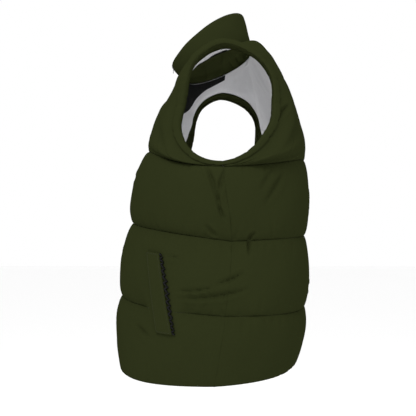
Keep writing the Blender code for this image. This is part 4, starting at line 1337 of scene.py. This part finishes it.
WELT_ROWS = 110
WELT_COLUMNS = 24
WELT_ROUND = 0.0022
POCKET_TOOTH_OFF = 0.0019            # its middle stands this far off the panel
POCKET_TOOTH_WIDTH = 0.0024
POCKET_TOOTH_THICK = 0.0026
POCKET_TOOTH_SLANT = (26, 42)        # degrees, least and most


def pocket_place(level, offsets):
    """(points, normals) on the front panel, offsets metres from the slit towards the zip."""
    share = (POCKET_TOP.level - level) / POCKET_LEVELS
    u = POCKET_TOP.u + (POCKET_FOOT.u - POCKET_TOP.u) * share
    us = u - np.asarray(offsets) / row_length("front", float(level))
    return outer_row("front", level, us)


def make_welts():
    levels = np.linspace(POCKET_FOOT.level, POCKET_TOP.level, WELT_ROWS + 1)
    offsets = GAP + (WELT_WIDTH - GAP) * crowded(WELT_COLUMNS, 0.8)
    tops, feet = [], []
    for level in levels:
        points, normals = pocket_place(level, offsets)
        ends = min(level - POCKET_FOOT.level, POCKET_TOP.level - level) * LEVEL_HEIGHT
        sides = np.minimum(offsets - GAP, WELT_WIDTH - offsets)
        puff = np.minimum(round_over(sides, WELT_ROUND), round_over(ends, WELT_ROUND))
        rise = WELT_OFF + WELT_THICK * (0.25 + 0.75 * puff)
        tops.append(points + normals * rise[:, None])
        feet.append(points + normals * WELT_OFF * 0.4)
    tops, feet = np.array(tops), np.array(feet)
    for hand in ("left", "right"):
        top, foot = worn(hand, tops, feet)
        piece = wall(f"pocket_welt_{hand}_cloth", top, foot, material_of("shell"), 2)
        place(piece, "shell", f"pocket_welt_{hand}")


def block(size, bevel):
    """(verts, faces) of a bevelled block about the origin."""
    bm = bmesh.new()
    bmesh.ops.create_cube(bm, size=1.0)
    bmesh.ops.scale(bm, vec=Vector(size), verts=bm.verts)
    bmesh.ops.bevel(bm, geom=bm.edges, offset=bevel, segments=1, affect="EDGES")
    bm.verts.ensure_lookup_table()
    verts = np.array([v.co[:] for v in bm.verts])
    faces = [[v.index for v in face.verts] for face in bm.faces]
    bm.free()
    return verts, faces


def copies(name, template, frames, material):
    """One joined mesh with a copy of template at each (origin, x way, y way, z way)."""
    verts, faces = template
    every, joined = [], []
    for k, (origin, *ways) in enumerate(frames):
        every.append(origin + verts @ np.array(ways))
        joined += [[index + k * len(verts) for index in face] for face in faces]
    return add_piece(name, np.concatenate(every), joined, material, smooth_angle=35)


def pocket_teeth_frames(pitch):
    """Where each tooth of the pocket zip stands: they point back from under the welt."""
    count = int(POCKET_LEVELS * LEVEL_HEIGHT / pitch)
    frames = []
    for k in range(count):
        level = POCKET_FOOT.level + POCKET_LEVELS * (k + 0.5) / count
        points, _ = pocket_place(level, [-POCKET_ZIP_WIDTH / 2, POCKET_ZIP_WIDTH / 2])
        above, _ = pocket_place(level + 0.01, [-POCKET_ZIP_WIDTH / 2])
        back = unit(points[0] - points[1])
        climb = unit(above[0] - points[0])
        climb = unit(climb - back * climb.dot(back))
        out = np.cross(back, climb)
        frames.append((points[0] + out * POCKET_TOOTH_OFF, back, climb, out))
    return frames


def tooth_template(width, height, thick):
    """(verts, faces) of a pointed tooth along +X, bevelled at its head."""
    outline = ((-width / 2, -height / 2), (0.15 * width, -height / 2), (width / 2, -0.12 * height),
               (width / 2, 0.12 * height), (0.15 * width, height / 2), (-width / 2, height / 2))
    verts, count = [], len(outline)
    for z, shrink in ((-thick / 2, 1.0), (thick * 0.3, 1.0), (thick / 2, 0.78)):
        verts += [(x * shrink, y * shrink, z) for x, y in outline]
    faces = grid_faces(3, count, wrap=True)
    faces += [list(range(count))[::-1], list(range(2 * count, 3 * count))]
    return np.array(verts), [list(f) for f in faces]


def make_pocket_zips():
    """Slanting teeth, one way and then the other, as the opening puckers them."""
    pitch = vest_settings().trim.pocket_tooth_pitch
    template = tooth_template(1.0, 1.0, 1.0)
    frames = pocket_teeth_frames(pitch)
    rng = np.random.default_rng(71)
    placed = []
    for k, (origin, back, climb, out) in enumerate(frames):
        full = sin(pi * (k + 0.5) / len(frames)) ** 0.4
        slant = radians(rng.uniform(*POCKET_TOOTH_SLANT)) * (1 if k % 2 else -1)
        length = POCKET_ZIP_WIDTH * (0.6 + 1.0 * full) * rng.uniform(0.9, 1.15)
        along = back * cos(slant) + climb * sin(slant)
        origin = origin + back * (length * cos(slant) - POCKET_ZIP_WIDTH) / 2
        placed.append((origin, along * length, np.cross(out, along) * POCKET_TOOTH_WIDTH,
                       out * POCKET_TOOTH_THICK))
    for hand in ("left", "right"):
        turned = [worn(hand, *tooth) for tooth in placed]
        piece = copies(f"pocket_teeth_{hand}", template, turned, material_of("teeth"))
        place(piece, "black_teeth", f"pocket_zip_{hand}")


# ---- front zip -------------------------------------------------------------------------------

TOOTH_LENGTH = 0.0036    # across the zip
TOOTH_SHARE = 0.42       # of the pitch
TOOTH_THICK = 0.0026
TOOTH_BEVEL = 0.00035
TOOTH_ASIDE = 0.0009     # from the centre line to a tooth's middle
CAST_ROUND = 0.00018     # radius of the slider's edges


@lru_cache(maxsize=None)
def zip_line():
    """Points up the middle of the front zip and their outward ways, 1 mm apart."""
    points = [inner_end("front", level) for level in np.linspace(0, NECK_LEVEL, 90)]
    behind = -COLLAR_THICK[2] / 2 - ZIP_OUT
    points += [collar_point(collar_start(height), height, behind)[0]
               for height in COLLAR_ZIP_HEIGHTS]
    points = np.array(points) * (0, 1, 1)
    at = lengths_along(points)
    even = np.arange(0, at[-1], MM)
    points = np.stack([np.interp(even, at, points[:, axis]) for axis in range(3)], axis=-1)
    ways = unit(np.gradient(points, axis=0))
    out = np.stack([0 * ways[:, 0], -ways[:, 2], ways[:, 1]], axis=-1)
    return points + out * ZIP_OUT, ways, out


def slider_stop():
    """How many millimetres up the zip the slider's middle stands."""
    low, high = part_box("zip_slider")
    points = zip_line()[0]
    middle = np.array((low + high) / 2)
    return int(np.linalg.norm(points - middle, axis=1).argmin())


def make_tapes():
    points, _, outs = zip_line()
    xs = np.linspace(GAP / 2, ZIP_HALF + TAPE_UNDER, 5)
    middle = np.stack([points + (x, 0, 0) for x in xs], axis=1)
    lift = outs[:, None] * TAPE_THICK / 2
    for hand in ("left", "right"):
        outer, inner = worn(hand, middle + lift, middle - lift)
        piece = wall(f"zip_tape_{hand}_cloth", outer, inner, material_of("tape"))
        place(piece, "black_cloth", f"zip_tape_{hand}")


def make_chain():
    """Moulded teeth, one side between the other's, as far up as the slider."""
    pitch = vest_settings().trim.tooth_pitch
    points, ways, outs = zip_line()
    template = block((TOOTH_LENGTH, pitch * TOOTH_SHARE, TOOTH_THICK), TOOTH_BEVEL)
    frames = []
    across = np.array((1.0, 0, 0))
    last = (slider_stop() - 1) * MM - SLIDER_LENGTH / 2
    for k in range(int(last / (pitch / 2))):
        at = (k + 0.5) * pitch / 2
        i = int(round(at / MM))
        sign = 1 if k % 2 else -1
        frames.append((points[i] + across * sign * TOOTH_ASIDE, across, ways[i], outs[i]))
    piece = copies("front_zip_teeth", template, frames, material_of("teeth"))
    place(piece, "black_teeth", "zip_chain")


def finish_slider():
    """The slider and its pull keep their frame solids, with soft edges and plated metal."""
    for name in ("zip_slider", "zip_pull"):
        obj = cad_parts[name]
        obj.data.materials.clear()
        obj.data.materials.append(material_of("metal"))
        soften = obj.modifiers.new("cast edges", "BEVEL")
        soften.width = CAST_ROUND
        soften.segments = 2
        soften.limit_method = "ANGLE"


# ---- stitching -------------------------------------------------------------------------------

THREAD_THICK = 0.00055
THREAD_PROUD = 0.0001    # off the squeezed cloth
STITCH_INSET = 0.0030    # from the edge of the welt


def stitch_template(length, thick):
    """(verts, faces) of one stitch along +X: a slim bead, pulled in at both ends."""
    around, rings = 6, ((-0.5, 0.25), (-0.3, 0.9), (0.3, 0.9), (0.5, 0.25))
    verts = []
    for x, share in rings:
        for k in range(around):
            turn = 2 * pi * k / around
            verts.append((x * length, cos(turn) * thick / 2 * share, sin(turn) * thick / 2 * share))
    faces = [list(f) for f in grid_faces(len(rings), around, wrap=True)]
    faces += [list(range(around)), list(range(len(verts) - around, len(verts)))]
    return np.array(verts), faces


def stitch_frames(points, normals, pitch):
    """Frames for stitches spaced evenly along a line of points."""
    at = lengths_along(points)
    frames = []
    for spot in np.arange(pitch / 2, at[-1], pitch):
        here, ahead = (np.array([np.interp(s, at, points[:, axis]) for axis in range(3)])
                       for s in (spot, spot + MM))
        out = np.array([np.interp(spot, at, normals[:, axis]) for axis in range(3)])
        way = unit(ahead - here) if spot + MM < at[-1] else way
        out = unit(out - way * out.dot(way))
        frames.append((here, way, np.cross(out, way), out))
    return frames


def quilting_runs():
    """(points, normals) along each quilting line, just proud of the squeezed cloth."""
    runs = []
    for line in (1, 2, 3):
        for side in ("front", "back"):
            us = np.linspace(0.02 if is_front(side) else 0.0, 0.995, 160)
            normal = form_normal(side, float(line), us)
            off = filling(side, float(line), us) + THREAD_PROUD
            points = form_row(side, float(line), us) + normal * off[:, None]
            keep = np.ones(len(us), bool)
            if is_front(side):
                keep = pocket_share(float(line), us) < 0.97
            breaks = np.flatnonzero(np.diff(keep.astype(int))) + 1
            for part in np.split(np.arange(len(us)), breaks):
                if keep[part[0]] and len(part) > 2:
                    runs.append((points[part], normal[part]))
    return runs


def welt_runs():
    """A row of stitches inside each edge of the welt."""
    runs = []
    inside = STITCH_INSET / LEVEL_HEIGHT
    levels = np.linspace(POCKET_FOOT.level + inside, POCKET_TOP.level - inside, 90)
    rise = WELT_OFF + WELT_THICK + THREAD_PROUD
    for offset in (GAP + STITCH_INSET, WELT_WIDTH - STITCH_INSET):
        rows = [pocket_place(level, [offset]) for level in levels]
        points = np.array([row[0][0] + row[1][0] * rise for row in rows])
        runs.append((points, np.array([row[1][0] for row in rows])))
    for level in (levels[0], levels[-1]):
        across = np.linspace(GAP + STITCH_INSET, WELT_WIDTH - STITCH_INSET, 20)
        points, normals = pocket_place(level, across)
        runs.append((points + normals * rise, normals))
    return runs


def make_stitching():
    trim = vest_settings().trim
    template = stitch_template(trim.stitch_length, THREAD_THICK)
    pitch = trim.stitch_length + trim.stitch_gap
    for name, runs in (("quilting_stitches", quilting_runs()), ("welt_stitches", welt_runs())):
        frames = []
        for points, normals in runs:
            frames += stitch_frames(points, normals, pitch)
            frames += stitch_frames(flip(points), flip(normals), pitch)
        piece = copies(name, template, frames, material_of("thread"))
        place(piece, "shell")


# ---- stage -----------------------------------------------------------------------------------

CAMERA_PLACE = (1.138, -0.025, -0.343)
CAMERA_TURN = 0.5        # degrees towards the front of the vest
CAMERA_TILT = 2.67       # degrees up


def make_stage():
    settings = vest_settings().stage
    scene = bpy.context.scene
    low, high = CAD_BOX
    bpy.ops.mesh.primitive_plane_add(size=40, location=(0, 0, low.z - settings.floor_drop))
    floor = bpy.context.object
    floor.name = "studio_floor"
    floor.data.materials.append(material_of("paper"))

    world = bpy.data.worlds.new("studio air")
    scene.world = world
    world.use_nodes = True
    air = world.node_tree.nodes["Background"]
    air.inputs["Color"].default_value = (1, 1, 1, 1)
    air.inputs["Strength"].default_value = settings.air

    middle = (low + high) / 2
    Light = namedtuple("Light", "name spot size power")
    lights = (
        Light("key", (2.1, -0.9, 2.0), 1.2, settings.key_power),
        Light("fill", (2.0, 1.8, 0.2), 1.8, settings.key_power * 0.12),
        Light("far side", (-2.4, -0.4, 1.4), 2.0, settings.key_power * 0.45),
    )
    for light in lights:
        data = bpy.data.lights.new(light.name, "AREA")
        data.size = light.size
        data.energy = light.power
        lamp = bpy.data.objects.new(light.name, data)
        scene.collection.objects.link(lamp)
        lamp.location = Vector(light.spot)
        lamp.rotation_euler = (middle - lamp.location).to_track_quat("-Z", "Y").to_euler()

    data = bpy.data.cameras.new("studio camera")
    data.lens = 50
    data.sensor_width = 36
    camera = bpy.data.objects.new("studio camera", data)
    scene.collection.objects.link(camera)
    camera.location = CAMERA_PLACE
    look = Vector((-1, -np.tan(radians(CAMERA_TURN)), np.tan(radians(CAMERA_TILT))))
    camera.rotation_euler = look.to_track_quat("-Z", "Y").to_euler()
    scene.camera = camera
    scene.view_settings.view_transform = "Standard"


# ---- settings, operators and sidebar ---------------------------------------------------------

class ShellSettings(bpy.types.PropertyGroup):
    colour: FloatVectorProperty(
        name="Shell colour", description="Dye of the outer cloth", subtype="COLOR",
        size=3, min=0, max=1, default=linear("#252915"))
    weave_pitch: FloatProperty(
        name="Weave pitch", unit="LENGTH", default=0.0011,
        description="Width of a drawn thread; real ones are 0.1 mm apart and wouldn't show")
    crease_depth: FloatProperty(
        name="Crease depth", description="Scale of the hand-placed creases", default=2.2)
    pucker_depth: FloatProperty(
        name="Pucker depth", description="Deepest gather along a quilting line",
        unit="LENGTH", default=0.0024)
    ripple_depth: FloatProperty(
        name="Ripple depth", description="Soft unevenness of the filling",
        unit="LENGTH", default=0.0005)


class TrimSettings(bpy.types.PropertyGroup):
    lining_colour: FloatVectorProperty(
        name="Lining colour", description="Dye of the lining", subtype="COLOR",
        size=3, min=0, max=1, default=linear("#D2D2D4"))
    lining_slack: FloatProperty(
        name="Lining slack", description="How far the lining waves hang free",
        unit="LENGTH", default=0.0050)
    facing_colour: FloatVectorProperty(
        name="Trim colour", description="Dye of the facing and the zip tape", subtype="COLOR",
        size=3, min=0, max=1, default=linear("#111211"))
    metal_colour: FloatVectorProperty(
        name="Metal colour", description="Plating of the slider and its pull", subtype="COLOR",
        size=3, min=0, max=1, default=linear("#8E8F93"))
    tooth_pitch: FloatProperty(
        name="Front tooth pitch", description="Spacing of the teeth on one tape",
        unit="LENGTH", default=0.0030)
    pocket_tooth_pitch: FloatProperty(
        name="Pocket tooth pitch", description="Spacing of the pocket zip's teeth",
        unit="LENGTH", default=0.0050)
    stitch_length: FloatProperty(
        name="Stitch length", description="Thread seen between two needle holes",
        unit="LENGTH", default=0.0026)
    stitch_gap: FloatProperty(
        name="Stitch gap", description="Cloth between two stitches",
        unit="LENGTH", default=0.0008)


class StageSettings(bpy.types.PropertyGroup):
    floor_drop: FloatProperty(
        name="Floor drop", description="Floor below the hem, as under a standing wearer",
        unit="LENGTH", default=0.90)
    air: FloatProperty(
        name="Air light", description="Strength of the even white surround", default=1.0)
    key_power: FloatProperty(
        name="Key light", description="Power of the main lamp", unit="POWER", default=60.0)


class VestSettings(bpy.types.PropertyGroup):
    shell: PointerProperty(type=ShellSettings)
    trim: PointerProperty(type=TrimSettings)
    stage: PointerProperty(type=StageSettings)


class VEST_OT_stage(bpy.types.Operator):
    """Make the floor, the light and the camera"""
    bl_idname = "vest.stage"
    bl_label = "Stage"

    def execute(self, context):
        make_stage()
        return {"FINISHED"}


class VEST_OT_fronts(bpy.types.Operator):
    """Make the two padded front panels"""
    bl_idname = "vest.fronts"
    bl_label = "Front panels"

    def execute(self, context):
        make_panel("front")
        return {"FINISHED"}


class VEST_OT_back(bpy.types.Operator):
    """Make the padded back panel"""
    bl_idname = "vest.back"
    bl_label = "Back panel"

    def execute(self, context):
        make_panel("back")
        return {"FINISHED"}


class VEST_OT_linings(bpy.types.Operator):
    """Make the lining of the back and the fronts"""
    bl_idname = "vest.linings"
    bl_label = "Linings"

    def execute(self, context):
        make_linings()
        return {"FINISHED"}


class VEST_OT_facings(bpy.types.Operator):
    """Make the facings of the front neck and of the armholes"""
    bl_idname = "vest.facings"
    bl_label = "Facings"

    def execute(self, context):
        make_facings()
        return {"FINISHED"}


class VEST_OT_collar(bpy.types.Operator):
    """Make the padded stand collar"""
    bl_idname = "vest.collar"
    bl_label = "Collar"

    def execute(self, context):
        make_collar()
        return {"FINISHED"}


class VEST_OT_armhole_edges(bpy.types.Operator):
    """Make the rolled edges of the armholes"""
    bl_idname = "vest.armhole_edges"
    bl_label = "Armhole edges"

    def execute(self, context):
        make_armhole_edges()
        return {"FINISHED"}


class VEST_OT_pockets(bpy.types.Operator):
    """Make the pocket welts and the teeth behind them"""
    bl_idname = "vest.pockets"
    bl_label = "Pockets"

    def execute(self, context):
        make_welts()
        make_pocket_zips()
        return {"FINISHED"}


class VEST_OT_front_zip(bpy.types.Operator):
    """Make the tapes and teeth of the front zip, and finish its slider"""
    bl_idname = "vest.front_zip"
    bl_label = "Front zip"

    def execute(self, context):
        make_tapes()
        make_chain()
        finish_slider()
        return {"FINISHED"}


class VEST_OT_stitching(bpy.types.Operator):
    """Make the stitches of the quilting and the welts"""
    bl_idname = "vest.stitching"
    bl_label = "Stitching"

    def execute(self, context):
        make_stitching()
        return {"FINISHED"}


OPERATORS = (VEST_OT_stage, VEST_OT_fronts, VEST_OT_back, VEST_OT_linings, VEST_OT_facings,
             VEST_OT_collar, VEST_OT_armhole_edges, VEST_OT_pockets, VEST_OT_front_zip,
             VEST_OT_stitching)


class VEST_PT_sidebar(bpy.types.Panel):
    """Sizes and colours of the vest, and a button for each of its pieces"""
    bl_idname = "VEST_PT_sidebar"
    bl_label = "Puffer vest"
    bl_space_type = "VIEW_3D"
    bl_region_type = "UI"
    bl_category = "Vest"

    def draw(self, context):
        for group in (context.scene.vest.shell, context.scene.vest.trim, context.scene.vest.stage):
            box = self.layout.box()
            for key in group.bl_rna.properties.keys():
                if key not in ("rna_type", "name"):
                    box.prop(group, key)
        for operator in OPERATORS:
            self.layout.operator(operator.bl_idname)


CLASSES = (ShellSettings, TrimSettings, StageSettings, VestSettings, *OPERATORS, VEST_PT_sidebar)


def register():
    for cls in CLASSES:
        bpy.utils.register_class(cls)
    bpy.types.Scene.vest = PointerProperty(type=VestSettings)


def unregister():
    del bpy.types.Scene.vest
    for cls in reversed(CLASSES):
        bpy.utils.unregister_class(cls)


def main():
    register()
    bpy.ops.vest.stage()
    bpy.ops.vest.fronts()
    bpy.ops.vest.back()
    bpy.ops.vest.linings()
    bpy.ops.vest.facings()
    bpy.ops.vest.collar()
    bpy.ops.vest.armhole_edges()
    bpy.ops.vest.pockets()
    bpy.ops.vest.front_zip()
    bpy.ops.vest.stitching()


if __name__ == "__main__":
    main()
